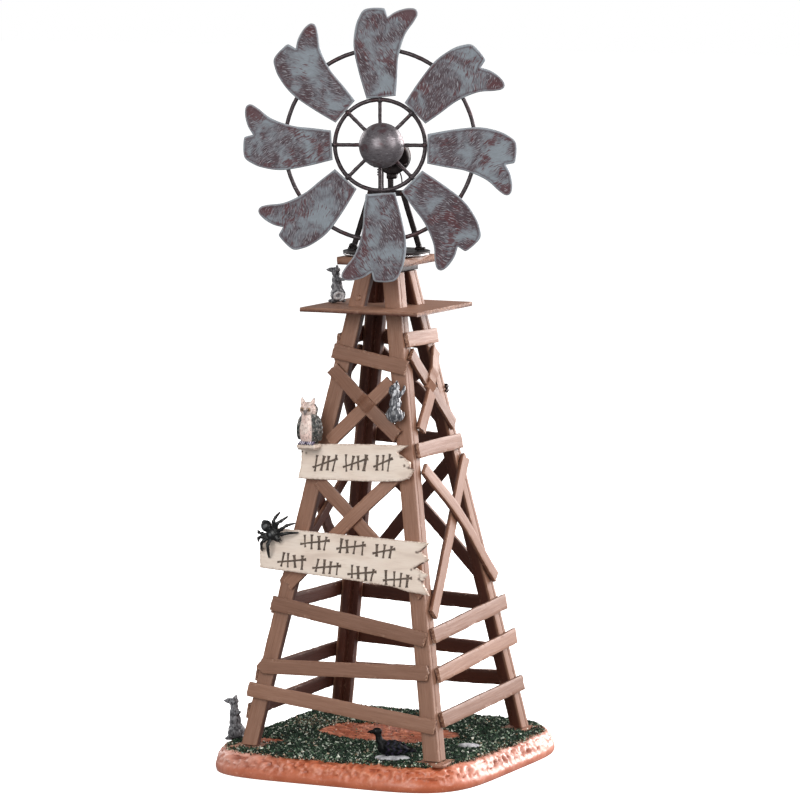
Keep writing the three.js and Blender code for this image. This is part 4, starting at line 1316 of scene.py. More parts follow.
def top_point(angle, share):
    """A point of the slab's top, `share` of the way in to its middle."""
    r = (reach_of(angle) - PROFILE[-1][0]) * (1 - share)
    x, y = MID_X + r * math.cos(angle), MID_Y + r * math.sin(angle)
    bare = soil(x, y)
    bumps = billow(x * 1.1, y * 1.1, 2.0)
    z = TURF_Z + bare * (1.1 * bumps - 0.45) + 0.1 * n3(x * 0.15, y * 0.15) * (1 - bare)
    # painted highlight: the raised lumps of the bare soil are tinted paler
    tint = blended(rgb(148, 78, 54), rgb(216, 136, 104), ease(bumps, 0.35, 0.7))
    # the last value is painted shade: the soil's hollows are darkened
    return (x, y, z), tint, ease(0.25 - bumps, 0.0, 0.25) * 0.25


def make_earth():
    shell = Shell()
    around = 620
    rings = []
    for station in range(len(PROFILE) + TOP_RINGS):
        ring = []
        for k in range(around):
            angle = TURN * k / around
            if station < len(PROFILE):
                co, tint, pit = rim_point(angle, *PROFILE[station])
            else:
                co, tint, pit = top_point(angle, (station - len(PROFILE) + 1) / (TOP_RINGS + 1))
            ring.append(shell.vertex(co, tint=tuple(tint[:3]) + (1.0,), pit=float(pit)))
        rings.append(ring)
    shell.loft(rings, caps=True)
    shell.piece("moulded_earth", "tower", EARTH, ["base_slab"], 60)


make_earth()


def pad_material():
    p = Paint("foot_pad_paint", 0.6, specular=0.4)
    cloud = p.noise(p.object, 260, 4, 0.6)
    fine = p.noise(p.object, 1500, 3, 0.6)
    base = p.ramp(cloud, [(0.34, rgb(112, 72, 54)), (0.5, rgb(142, 96, 75)), (0.66, rgb(182, 134, 112))])
    p.set("Base Color", p.mix(p.ramp(fine, [(0.55, 0.0), (0.7, 0.6)]), base, rgb(224, 186, 166)))
    first = p.bump(cloud, 0.4, 0.0003)
    p.bump(fine, 0.3, 0.0001, first)
    return p.mat


PAD_AT = 38.4


def make_pads():
    """The worn plinth under each foot."""
    pad = pad_material()
    shell = Shell()
    for sx in (-1, 1):
        for sy in (-1, 1):
            x, y = sx * PAD_AT, sy * PAD_AT
            rounded_block(shell, (x - 6.3, y - 6.2, 8.6), (x + 6.3, y + 6.2, 9.85), 0.45, STILL,
                          sx * 7 + sy * 3, 0.9, 0.32)
    shell.piece("foot_pads", "tower", pad, (), 50)


make_pads()


def grain_material(name, rough):
    p = Paint(name, rough, specular=0.25)
    tint = p.attribute("tint", "Color")
    speck = p.noise(p.object, 2600, 3, 0.6)
    dull = p.noise(p.object, 400, 3, 0.6)
    base = p.mix(p.ramp(speck, [(0.5, 0.0), (0.72, 0.35)]), tint, rgb(122, 142, 122))
    p.set("Base Color", p.mix(p.ramp(dull, [(0.36, 0.35), (0.55, 0.0)]), base, rgb(24, 30, 24)))
    p.bump(speck, 0.3, 0.00006)
    return p.mat


def scatter(name, material, spots, sizes, tints, seed):
    """Small shards standing at the spots, each a skewed tetrahedron with its own tint."""
    rng = np.random.default_rng(seed)
    count = len(spots)
    corners = np.array([(1, 1, 1), (1, -1, -1), (-1, 1, -1), (-1, -1, 1)], float) * 0.62
    shape = corners[None] * rng.uniform(0.55, 1.25, (count, 4, 1)) * rng.uniform(0.5, 1.3, (count, 1, 3))
    angles = rng.uniform(0, TURN, (count, 3))
    c, s = np.cos(angles), np.sin(angles)
    for i, (a, b) in enumerate(((0, 1), (1, 2), (0, 2))):
        first = shape[:, :, a] * c[:, None, i] - shape[:, :, b] * s[:, None, i]
        shape[:, :, b] = shape[:, :, a] * s[:, None, i] + shape[:, :, b] * c[:, None, i]
        shape[:, :, a] = first
    co = (shape * sizes[:, None, None] + spots[:, None]).reshape(-1, 3)
    co[:, 2] = np.maximum(co[:, 2], 0.05)
    mesh = bpy.data.meshes.new(name)
    faces = np.array([(0, 1, 2), (0, 3, 1), (0, 2, 3), (1, 3, 2)])
    all_faces = (faces[None] + 4 * np.arange(count)[:, None, None]).reshape(-1, 3)
    mesh.from_pydata((co * MM).tolist(), [], all_faces.tolist())
    layer = mesh.color_attributes.new("tint", "FLOAT_COLOR", "POINT")
    flat = np.ones((count * 4, 4), np.float32)
    flat[:, :3] = np.repeat(tints, 4, axis=0)
    layer.data.foreach_set("color", flat.ravel())
    return finish_piece(mesh, name, "tower", material, (), None)


GREENS = [rgb(14, 30, 22), rgb(22, 42, 31), rgb(34, 58, 42), rgb(50, 78, 56), rgb(8, 16, 12)]
PALE = [rgb(176, 190, 172), rgb(224, 228, 214), rgb(118, 140, 114)]
EARTHY = [rgb(120, 92, 66), rgb(86, 62, 46), rgb(206, 182, 158), rgb(60, 48, 38)]
GRAINS = 52000


def make_turf():
    """Flock grains: paler and sparser near the turf's edge, the bare soil, the pads and a worn patch."""
    rng = np.random.default_rng(77)
    spots, sizes, tints = [], [], []
    for _ in range(GRAINS):
        x, y = rng.uniform(-56.5, 53.5), rng.uniform(-55.5, 62.0)
        angle, inset = from_edge(x, y)
        margin = turf_margin(angle) - inset
        if margin > 1.4 or (margin > 0 and rng.random() < 0.35 + margin * 0.45):
            continue
        bare = soil(x, y)
        if bare > 0.5 and rng.random() < 0.985:
            continue
        on_pad = max(abs(abs(x) - PAD_AT), abs(abs(y) - PAD_AT)) < 5.6 + 1.2 * n3(x * 0.4, y * 0.4, 6)
        if on_pad and rng.random() < 0.93:
            continue
        threadbare = 0.75 * ease(1 - math.hypot((x + 36) / 17, (y - 15) / 13), 0, 0.6)
        near = max(ease(margin, -2.2, 0.6), bare, 0.6 if on_pad else 0.0, threadbare)
        clump = n3(x * 0.22, y * 0.22, 11)
        roll = rng.random()
        if roll < 0.03 + 0.42 * near:
            tint = EARTHY[rng.integers(4)]
        elif roll < 0.14 + 0.5 * near + 0.24 * max(0.0, clump):
            tint = PALE[rng.integers(3)]
        else:
            tint = GREENS[rng.integers(5)]
        ground = TURF_Z - 0.05 - 0.9 * ease(8.5 - inset, 0, 7)
        spots.append((x, y, ground + rng.uniform(-0.1, 0.85) * (1 - 0.55 * near) + 0.35 * clump))
        sizes.append(rng.uniform(0.34, 0.78) * (1 - 0.3 * near))
        tints.append(tint[:3])
    scatter("turf", grain_material("turf_flock", 0.85), np.array(spots), np.array(sizes), np.array(tints), 5)


make_turf()


def turf_bed_material():
    p = Paint("turf_bed", 0.95, specular=0.1)
    cloud = p.noise(p.object, 420, 4, 0.65)
    fine = p.noise(p.object, 2200, 3, 0.7)
    base = p.ramp(cloud, [(0.34, rgb(18, 30, 23)), (0.5, rgb(30, 50, 38)), (0.68, rgb(58, 72, 54))])
    p.set("Base Color", p.mix(p.ramp(fine, [(0.58, 0.0), (0.7, 0.6)]), base, rgb(130, 138, 116)))
    first = p.bump(cloud, 0.6, 0.0006)
    p.bump(fine, 0.5, 0.0002, first)
    return p.mat


def make_turf_bed():
    """The dark glued layer under the flock, a net of square cells with a skirt round its edge."""
    shell = Shell()
    step, cells = 0.9, {}
    count = int(113 / step)
    for i in range(count + 1):
        for j in range(count + 1):
            x, y = -58.1 + i * step, -53.1 + j * step
            angle, inset = from_edge(x, y)
            if inset < turf_margin(angle) + 0.7 or soil(x, y) > 0.4:
                continue
            z = TURF_Z + 0.15 - 0.9 * ease(8.5 - inset, 0, 7)
            z += 0.3 * n3(x * 0.22, y * 0.22, 11) + 0.12 * n3(x * 1.1, y * 1.1, 2)
            cells[(i, j)] = shell.vertex((x + 0.3 * n3(x, y, 4), y + 0.3 * n3(x, y, 7), z), local=(x, y, 0.0))
    borders = {}
    for (i, j) in list(cells):
        corners = [(i, j), (i + 1, j), (i + 1, j + 1), (i, j + 1)]
        if all(c in cells for c in corners):
            shell.faces.append([cells[c] for c in corners])
            for a, b in zip(corners, corners[1:] + corners[:1]):
                borders[(a, b)] = True
    skirt = {}
    for (a, b) in list(borders):
        if (b, a) in borders:
            continue
        for c in (a, b):
            if c not in skirt:
                x, y, z = shell.co[cells[c]]
                skirt[c] = shell.vertex((x, y, z - 1.3), local=(x, y, -1.0))
        shell.faces.append([cells[b], cells[a], skirt[a], skirt[b]])
    shell.piece("turf_bed", "tower", turf_bed_material(), (), 70)


make_turf_bed()


def stone_material():
    p = Paint("pale_stone", 0.7, specular=0.35)
    cloud = p.noise(p.object, 300, 4, 0.6)
    fine = p.noise(p.object, 1800, 3, 0.6)
    base = p.ramp(cloud, [(0.34, rgb(132, 132, 136)), (0.52, rgb(184, 184, 188)), (0.66, rgb(214, 214, 216))])
    p.set("Base Color", p.mix(p.ramp(fine, [(0.3, 0.5), (0.46, 0.0)]), base, rgb(116, 116, 120)))
    first = p.bump(cloud, 0.5, 0.0003)
    p.bump(fine, 0.4, 0.0001, first)
    return p.mat


STONE = stone_material()


# ---------------------------------------------------------------- animals
BALLS = {}


def ball(parts):
    """A unit ball as (points, faces), with `parts` divisions round it."""
    if parts not in BALLS:
        rows = parts * 2 // 3
        points = [(0.0, 0.0, 1.0)]
        for i in range(1, rows):
            polar = math.pi * i / rows
            for k in range(parts):
                angle = TURN * k / parts
                flat = math.sin(polar)
                points.append((flat * math.cos(angle), flat * math.sin(angle), math.cos(polar)))
        points.append((0.0, 0.0, -1.0))
        faces = []
        for k in range(parts):
            m = (k + 1) % parts
            faces.append((0, 1 + k, 1 + m))
            for i in range(rows - 2):
                a, b = 1 + i * parts, 1 + (i + 1) * parts
                faces.append((a + k, b + k, b + m, a + m))
            last = 1 + (rows - 2) * parts
            faces.append((last + m, last + k, len(points) - 1))
        BALLS[parts] = (np.array(points), faces)
    return BALLS[parts]


class Clay:
    """Soft forms joined into one skin. Lengths are in millimetres in the figure's own frame."""

    def __init__(self):
        self.co, self.faces, self.fine = [], [], []

    def egg(self, centre, radii, turn=(0, 0, 0), parts=20):
        co, faces = ball(parts)
        spin = Matrix.Rotation(math.radians(turn[2]), 3, "Z") @ Matrix.Rotation(math.radians(turn[1]), 3, "Y")
        spin = np.array(spin @ Matrix.Rotation(math.radians(turn[0]), 3, "X"))
        start = sum(len(block) for block in self.co)
        self.co.append((co * np.array(radii)) @ spin.T + np.array(centre))
        self.faces += [[start + i for i in face] for face in faces]
        return self

    def limb(self, points, radii):
        """A chain of balls along a smooth curve, with the radius running through `radii`."""
        points = [Vector(p) for p in points]
        chain = []
        for i in range(len(points) - 1):
            p0, p1, p2 = points[max(0, i - 1)], points[i], points[i + 1]
            p3 = points[min(len(points) - 1, i + 2)]
            steps = max(2, round((p2 - p1).length / (min(radii) * 0.45)))
            for k in range(steps):
                t = k / steps
                a = (p2 - p0) * 0.5
                b = (p3 - p1) * 0.5
                h = p1 * (2 * t ** 3 - 3 * t ** 2 + 1) + a * (t ** 3 - 2 * t ** 2 + t)
                chain.append(h + p2 * (-2 * t ** 3 + 3 * t ** 2) + b * (t ** 3 - t ** 2))
        chain.append(points[-1])
        for i, p in enumerate(chain):
            share = i / (len(chain) - 1) * (len(radii) - 1)
            low = min(int(share), len(radii) - 2)
            r = radii[low] + (radii[low + 1] - radii[low]) * (share - low)
            self.egg(p, (r, r, r), parts=10)
        return self

    def detail(self, centre, radii, colour, turn=(0, 0, 0)):
        """A small bead set on the finished skin, such as an eye."""
        self.fine.append((centre, radii, colour, turn))
        return self

    def figure(self, name, voxel, smooth, relief, colour, matrix, material, replaces):
        """Joins the forms with a voxel skin, carves `relief(p, n)` into it, paints it with `colour(p, n)`."""
        raw = bpy.data.meshes.new(name + "_raw")
        raw.from_pydata(np.concatenate(self.co).tolist(), [], self.faces)
        holder = link(bpy.data.objects.new(name + "_raw", raw))
        modifier = holder.modifiers.new("skin", "REMESH")
        modifier.mode = "VOXEL"
        modifier.voxel_size = voxel
        bpy.context.view_layer.update()
        skin = bpy.data.meshes.new_from_object(holder.evaluated_get(bpy.context.evaluated_depsgraph_get()))
        bpy.data.objects.remove(holder)
        bpy.data.meshes.remove(raw)
        bm = bmesh.new()
        bm.from_mesh(skin)
        bpy.data.meshes.remove(skin)
        for _ in range(smooth):
            bmesh.ops.smooth_vert(bm, verts=bm.verts, factor=0.5,
                                  use_axis_x=True, use_axis_y=True, use_axis_z=True)
        bm.normal_update()
        shell = Shell()
        for v in bm.verts:
            p, n = v.co, v.normal
            co = p + n * relief(p, n)
            shell.vertex(matrix @ co, tint=tuple(colour(p, n)[:3]) + (1.0,), local=tuple(p))
        for f in bm.faces:
            shell.faces.append([v.index for v in f.verts])
        bm.free()
        for centre, radii, tint, turn in self.fine:
            bead = Clay().egg(centre, radii, turn, 14)
            start = len(shell.co)
            for co in bead.co[0]:
                shell.vertex(matrix @ Vector(co), tint=tuple(tint[:3]) + (1.0,), local=tuple(co))
            shell.faces += [[start + i for i in face] for face in bead.faces]
        shell.piece(name, "tower", material, replaces, 70)


def resin_material(name, rough, coat, streak, bumpiness, shine, specular=0.5):
    """Painted resin: the painted tint, dry-brushed on its raised strokes."""
    p = Paint(name, rough, specular=specular)
    local = p.attribute("local", "Vector")
    tint = p.attribute("tint", "Color")
    hair = p.noise(p.scaled(local, streak), 1.0, 4, 0.65, 0.3)
    spots = p.noise(p.scaled(local, (1.1, 1.1, 1.1)), 1.0, 3, 0.6)
    dimmed = p.mix(1.0, tint, rgb(96, 92, 96), "MULTIPLY")
    base = p.mix(p.ramp(hair, [(0.34, 0.55), (0.5, 0.0)]), tint, dimmed)
    base = p.mix(p.math("MULTIPLY", p.ramp(hair, [(0.55, 0.0), (0.68, 1.0)]), 0.5), base, rgb(*shine))
    base = p.mix(p.ramp(spots, [(0.6, 0.0), (0.75, 0.25)]), base, rgb(*shine))
    p.set("Base Color", base)
    p.set("Coat Weight", coat)
    p.set("Coat Roughness", 0.25)
    p.set("Roughness", p.ramp(hair, [(0.35, rough), (0.7, rough * 0.75)]))
    first = p.bump(hair, bumpiness, 0.00022)
    p.bump(spots, 0.3, 0.0002, first)
    return p.mat


GREY_FUR = resin_material("grey_fur_resin", 0.5, 0.15, (2.2, 2.2, 0.7), 0.8, (176, 176, 180))
DARK_FUR = resin_material("dark_fur_resin", 0.34, 0.4, (1.6, 0.5, 1.6), 0.6, (150, 154, 162))
BLACK_GLOSS = resin_material("black_gloss_resin", 0.36, 0.3, (1.4, 1.4, 1.4), 0.35, (16, 16, 18), 0.35)
FEATHERS = resin_material("crow_feather_resin", 0.45, 0.03, (0.8, 2.6, 2.2), 0.8, (20, 21, 30), 0.16)
OWL_PAINT = resin_material("owl_resin", 0.5, 0.12, (1.6, 1.6, 0.9), 0.35, (224, 208, 200))


def placed(x, y, z, turn):
    return Matrix.Translation((x, y, z)) @ Matrix.Rotation(math.radians(turn), 4, "Z")


def owl():
    """Faces the front and stands on a small ledge fixed to the upper sign."""
    place = placed(-18.9, -28.0, 122.4, -2)
    c = Clay()
    c.egg((0, 0.2, 7.6), (4.35, 3.5, 5.9)).egg((0, -0.5, 5.8), (3.6, 3.0, 3.9))
    c.egg((0, 0.2, 11.8), (3.5, 2.9, 3.4))
    c.egg((0, 0.1, 15.1), (3.55, 3.0, 3.0)).egg((0, -1.2, 15.2), (2.9, 1.8, 2.5))
    for side in (-1, 1):
        c.egg((side * 1.4, -2.3, 15.3), (1.6, 0.65, 1.65), (0, 0, side * 14))
        ear = [(side * 1.5, -1.3, 16.9), (side * 2.2, -0.9, 18.3), (side * 2.6, -0.6, 19.6)]
        c.limb(ear, (1.15, 0.9, 0.3))
        brow = [(side * 0.5, -2.4, 16.2), (side * 1.6, -2.3, 17.2), (side * 2.5, -1.4, 18.0)]
        c.limb(brow, (0.35, 0.5, 0.4))
        c.egg((side * 3.75, 0.5, 8.2), (1.2, 2.6, 4.9), (0, side * -6, 0))
        c.limb([(side * 3.8, 0.6, 9.0), (side * 3.3, 1.3, 5.4), (side * 1.9, 2.2, 2.6)], (1.2, 1.0, 0.5))
        for toe in (-1, 0, 1):
            x = side * 1.75 + toe * 0.85
            claw = [(x, -1.2, 2.9), (x + toe * 0.15, -2.2, 2.75), (x + toe * 0.3, -2.9, 2.3)]
            c.limb(claw, (0.6, 0.5, 0.36))
    c.limb([(0, 2.0, 5.2), (0, 2.4, 2.4)], (1.5, 0.9))
    c.limb([(0, -2.6, 14.9), (0, -3.2, 14.3), (0, -3.2, 13.3)], (0.62, 0.46, 0.18))
    for side in (-1, 1):
        c.detail((side * 1.35, -2.88, 15.45), (0.66, 0.28, 0.7), rgb(150, 108, 60), (0, 0, side * 12))
        c.detail((side * 1.33, -3.08, 15.42), (0.42, 0.2, 0.46), rgb(14, 12, 12), (0, 0, side * 12))
        # a tiny white dot on each eye: a painted highlight, the catchlight of a lamp
        c.detail((side * 1.17, -3.26, 15.58), (0.1, 0.05, 0.1), rgb(250, 250, 250))
        for toe in (-1, 0, 1):
            x = side * 1.75 + toe * 1.15
            c.detail((x, -3.1, 2.2), (0.16, 0.26, 0.2), rgb(40, 36, 48))

    def disc(side, z):
        """Distance from the middle of an eye, and the fine rays of the facial disc round it."""
        return math.hypot(side - 1.3, z - 15.4), math.sin(math.atan2(z - 15.4, side - 1.3) * 13)

    def feathers(p):
        return math.sin(p.z * 3.4 + 1.3 * math.cos(p.x * 2.6 + p.y * 1.5))

    def relief(p, n):
        side, back = abs(p.x), p.y
        up = 0.0
        if back > -0.6 and side > 1.6 and p.z < 13.4 or back > 0.8:
            up += 0.09 * feathers(p)
        elif p.z < 12.6:
            up += 0.02 * math.sin(p.z * 3.0 + 2.0 * math.cos(p.x * 2.2))
        if p.z > 13.2 and back < 0:
            r, ray = disc(side, p.z)
            up += 0.04 * ray * ease(r, 0.7, 1.2) * ease(2.6 - r, 0, 0.8)
        return up + 0.03 * n3(p.x * 2, p.y * 2, p.z * 2)

    cream, pink, wing = rgb(236, 216, 206), rgb(222, 188, 178), rgb(74, 78, 74)

    def colour(p, n):
        side, back = abs(p.x), p.y
        blush = ease(n3(p.x * 0.5, p.y * 0.5, p.z * 0.5), -0.1, 0.35) * 0.5 + 0.5 * ease(7 - p.z, 0, 5)
        base = blended(cream, pink, blush)
        if p.z < 12.8:
            scale = math.sin(p.z * 3.0 + 2.0 * math.cos(p.x * 2.2))
            base = blended(base, rgb(190, 146, 130), 0.28 * ease(scale, 0.6, 1.0))
        turned_away = math.degrees(math.atan2(side, -back))
        wings = ease(turned_away, 40, 50) if p.z < 13.6 else ease(turned_away, 70, 90)
        feather = ease(feathers(p), -0.2, 0.7)
        base = blended(base, blended(rgb(44, 46, 44), wing, feather), wings)
        if p.z > 13.2 and back < 0.4:
            r, ray = disc(side, p.z)
            base = blended(base, rgb(178, 160, 148), 0.55 * ease(ray, 0.1, 0.9) * ease(r, 0.8, 1.4))
            base = blended(base, rgb(120, 96, 86), 0.7 * ease(0.35 - abs(r - 0.78), 0, 0.3))
        if p.z > 17.9:
            base = blended(base, rgb(58, 58, 54), ease(n.y + 0.9 * (p.z - 17.9) / 1.8 - 0.2, 0, 0.5))
        if side < 0.75 and back < -2.75 and 12.9 < p.z < 15.3:
            base = rgb(126, 116, 114)
        if p.z < 3.35 and back < 0.4:
            stripes = ease(math.sin(p.x * 7.4), 0.0, 0.8)
            base = blended(rgb(66, 58, 92), rgb(214, 206, 220), stripes)
        return base
    c.figure("owl_figure", 0.16, 2, relief, colour, place, OWL_PAINT, ["owl"])
    shell = Shell()
    ledge = Matrix.Translation((-18.8, -28.1, 122.4))
    rounded_block(shell, (-3.9, -2.8, 0.75), (3.5, 3.0, 2.1), 0.3, ledge, 61, 0.6, 0.08)
    rounded_block(shell, (-3.6, -2.5, 0.0), (3.2, 3.0, 0.7), 0.2, ledge, 62, 0.6, 0.08)
    # painted shadow: the lower, narrower slab of the ledge takes the dark crack colour, a shadow line under
    # the ledge
    shell.data = {"grain": dict(enumerate(shell.co)), "wear": dict.fromkeys(range(len(shell.co)), 0.25),
                  "crack": {i: (0.55 if z < 123.1 else 0.0) for i, (x, y, z) in enumerate(shell.co)}}
    shell.piece("owl_ledge", "tower", SIGN_PAINT, (), 50)


owl()


def spider():
    """Sits on the left end of the lower sign, head to the lower right."""
    place = FRONT @ Matrix.Translation((-30.8, 89 * SLOPE, LOWER_FRONT + 2.6))
    c = Clay()
    c.egg((-2.7, 2.8, 0.35), (2.2, 2.35, 1.8), (0, 0, 45)).egg((-3.6, 3.8, 0.6), (1.2, 1.3, 1.0))
    c.egg((-0.1, 0.1, 0.1), (2.5, 2.6, 1.7)).egg((1.9, -1.5, 0.0), (1.55, 1.4, 1.1), (0, 0, -40))
    c.limb([(-1.9, 2.0, 0.0), (-0.6, 0.8, 0.1)], (1.2, 1.3))
    legs = [((0.5, 1.5), (0.6, 4.6), (1.1, 6.3), (1.5, 8.3)),
            ((1.2, 1.3), (2.2, 3.9), (3.5, 5.0), (4.9, 6.9)),
            ((1.6, 0.8), (4.2, 2.0), (6.0, 3.4), (8.2, 4.6)),
            ((1.8, 0.2), (4.4, 0.0), (6.6, 0.6), (9.8, 1.1)),
            ((-1.6, -0.2), (-3.8, -0.2), (-5.4, 0.2), (-7.2, 1.1)),
            ((-1.5, -0.9), (-3.8, -1.4), (-5.3, -1.9), (-6.5, -3.1)),
            ((-1.1, -1.4), (-2.8, -2.8), (-4.0, -4.0), (-4.7, -6.5)),
            ((-0.3, -1.6), (-1.0, -4.0), (-1.0, -6.2), (-1.5, -8.9))]
    for i, leg in enumerate(legs):
        joints = [(x, y, z) for (x, y), z in zip(leg, (0.1, 1.3, 0.9, -1.5))]
        c.limb(joints, (0.7, 0.68, 0.62, 0.56, 0.34) if i != 4 else (0.56, 0.48, 0.42, 0.3))
        c.egg(joints[1], (0.82, 0.82, 0.72)).egg(joints[2], (0.72, 0.72, 0.62))
    for side in (-1, 1):
        base = Vector((2.6, -2.1, -0.1))
        across = Vector((0.62, 0.78, 0)) * side * 0.45
        c.limb([base + across, base + across + Vector((0.7, -0.6, -0.5))], (0.38, 0.16))
        c.detail(tuple(Vector((2.7, -1.9, 0.75)) + across * 0.9), (0.2, 0.2, 0.16), rgb(80, 80, 82))
        c.detail(tuple(Vector((2.3, -1.5, 0.98)) + across * 0.7), (0.14, 0.14, 0.1), rgb(70, 70, 72))

    def relief(p, n):
        return 0.035 * n3(p.x * 2.4, p.y * 2.4, p.z * 2.4) + 0.03 * abs(n3(p.x * 5, p.y * 5, p.z * 5))

    def colour(p, n):
        spot = ease(1.1 - math.hypot(p.x + 2.9, p.y - 2.4), 0, 0.9)
        spot += ease(0.9 - math.hypot(p.x + 0.4, p.y + 0.4), 0, 0.8)
        tone = blended(rgb(13, 13, 13), rgb(104, 106, 108), min(1.0, spot) * (p.z > 0.6))
        if (p.x + 6.9) ** 2 + (p.y - 1) ** 2 < 1.4:
            tone = rgb(120, 122, 124)
        return tone
    c.figure("spider_figure", 0.15, 1, relief, colour, place, BLACK_GLOSS, ["spider"])


spider()


def crow():
    """Looks to the left, standing on its stone beside the front leg. A second stone lies further right."""
    place = placed(21.4, -40.6, 9.7, 22)
    c = Clay()
    c.egg((0.4, 0, 4.1), (4.9, 2.7, 2.9), (0, 8, 0)).egg((-2.4, 0, 4.3), (2.8, 2.3, 2.8))
    c.egg((3.4, 0, 3.5), (3.4, 2.0, 1.7))
    c.limb([(-2.8, 0, 5.2), (-4.2, 0, 7.0), (-4.7, 0, 8.7), (-4.9, 0, 10.2)], (2.1, 1.5, 1.25, 1.4))
    c.egg((-5.2, 0, 10.4), (1.85, 1.35, 1.45))
    c.limb([(-6.2, 0, 10.3), (-7.6, 0, 10.3), (-8.8, 0, 9.9)], (0.85, 0.55, 0.22))
    c.limb([(-6.2, 0, 9.9), (-7.8, 0, 9.75)], (0.5, 0.25))
    for side in (-1, 1):
        c.egg((1.4, side * 2.15, 4.7), (4.2, 0.95, 2.1), (0, 10, 0))
        c.limb([(2.0, side * 2.2, 4.9), (5.2, side * 1.9, 4.3), (8.2, side * 1.1, 3.6)], (1.2, 0.8, 0.3))
        c.limb([(0.4, side * 2.4, 3.9), (3.8, side * 2.3, 3.5), (6.6, side * 1.6, 3.1)], (1.0, 0.7, 0.3))
        c.limb([(-0.4, side * 1.1, 2.2), (-0.6, side * 1.2, 1.4)], (0.6, 0.4))
        for toe in (-1, 0, 1):
            c.limb([(-0.6, side * 1.2, 1.45), (-1.9, side * 1.2 + toe * 0.7, 1.4)], (0.34, 0.24))
        c.detail((-5.7, side * 1.18, 10.75), (0.3, 0.2, 0.3), rgb(60, 60, 66))
    for feather in (-1, 0, 1):
        tail = [(4.6, feather * 0.7, 3.7), (7.4, feather * 1.1, 3.3), (9.2, feather * 1.3, 3.1)]
        c.limb(tail, (0.9, 0.6, 0.4))

    def feathers(p):
        return math.sin(p.x * 2.7 - abs(p.y) * 0.5 + 1.5 * math.cos(p.z * 2.4))

    def relief(p, n):
        row = 0.11 * feathers(p) * ease(p.x, -3.0, -1.0) * (0.5 + 0.5 * ease(abs(p.y), 0.8, 1.8))
        return row + 0.05 * n3(p.x * 2, p.y * 2, p.z * 2)

    def colour(p, n):
        row = ease(feathers(p), 0.1, 1.0)
        wing = ease(p.x, -2.4, -0.6) * ease(abs(p.y), 0.7, 1.6)
        tone = blended(rgb(7, 7, 8), rgb(32, 33, 48), wing * row)
        return blended(tone, rgb(66, 42, 78), 0.55 * wing * row * ease(n3(p.x * 0.8, p.y, p.z), 0.0, 0.3))
    c.figure("crow_figure", 0.16, 2, relief, colour, place, FEATHERS, ["crow"])
    c = Clay()
    c.egg((0.5, -1.0, 0.55), (6.6, 3.8, 0.95), (0, 0, 4)).egg((3.4, -1.8, 0.6), (3.0, 2.4, 0.9))
    c.egg((-3.0, -0.4, 0.55), (3.1, 2.8, 0.85))

    def stone_relief(p, n):
        return 0.14 * n3(p.x * 0.8, p.y * 0.8, p.z) + 0.06 * n3(p.x * 2.4, p.y * 2.4, p.z)

    def stone_tint(p, n):
        return rgb(190, 190, 194)
    c.figure("crow_stone", 0.2, 2, stone_relief, stone_tint, place, STONE, ())
    c = Clay()
    c.egg((0, 0, 0.6), (4.3, 2.9, 1.15)).egg((1.6, 0.8, 0.5), (2.6, 2.0, 1.0))
    c.figure("loose_stone", 0.2, 2, stone_relief, stone_tint, placed(38.0, -7.0, 9.5, 20), STONE, ())


crow()


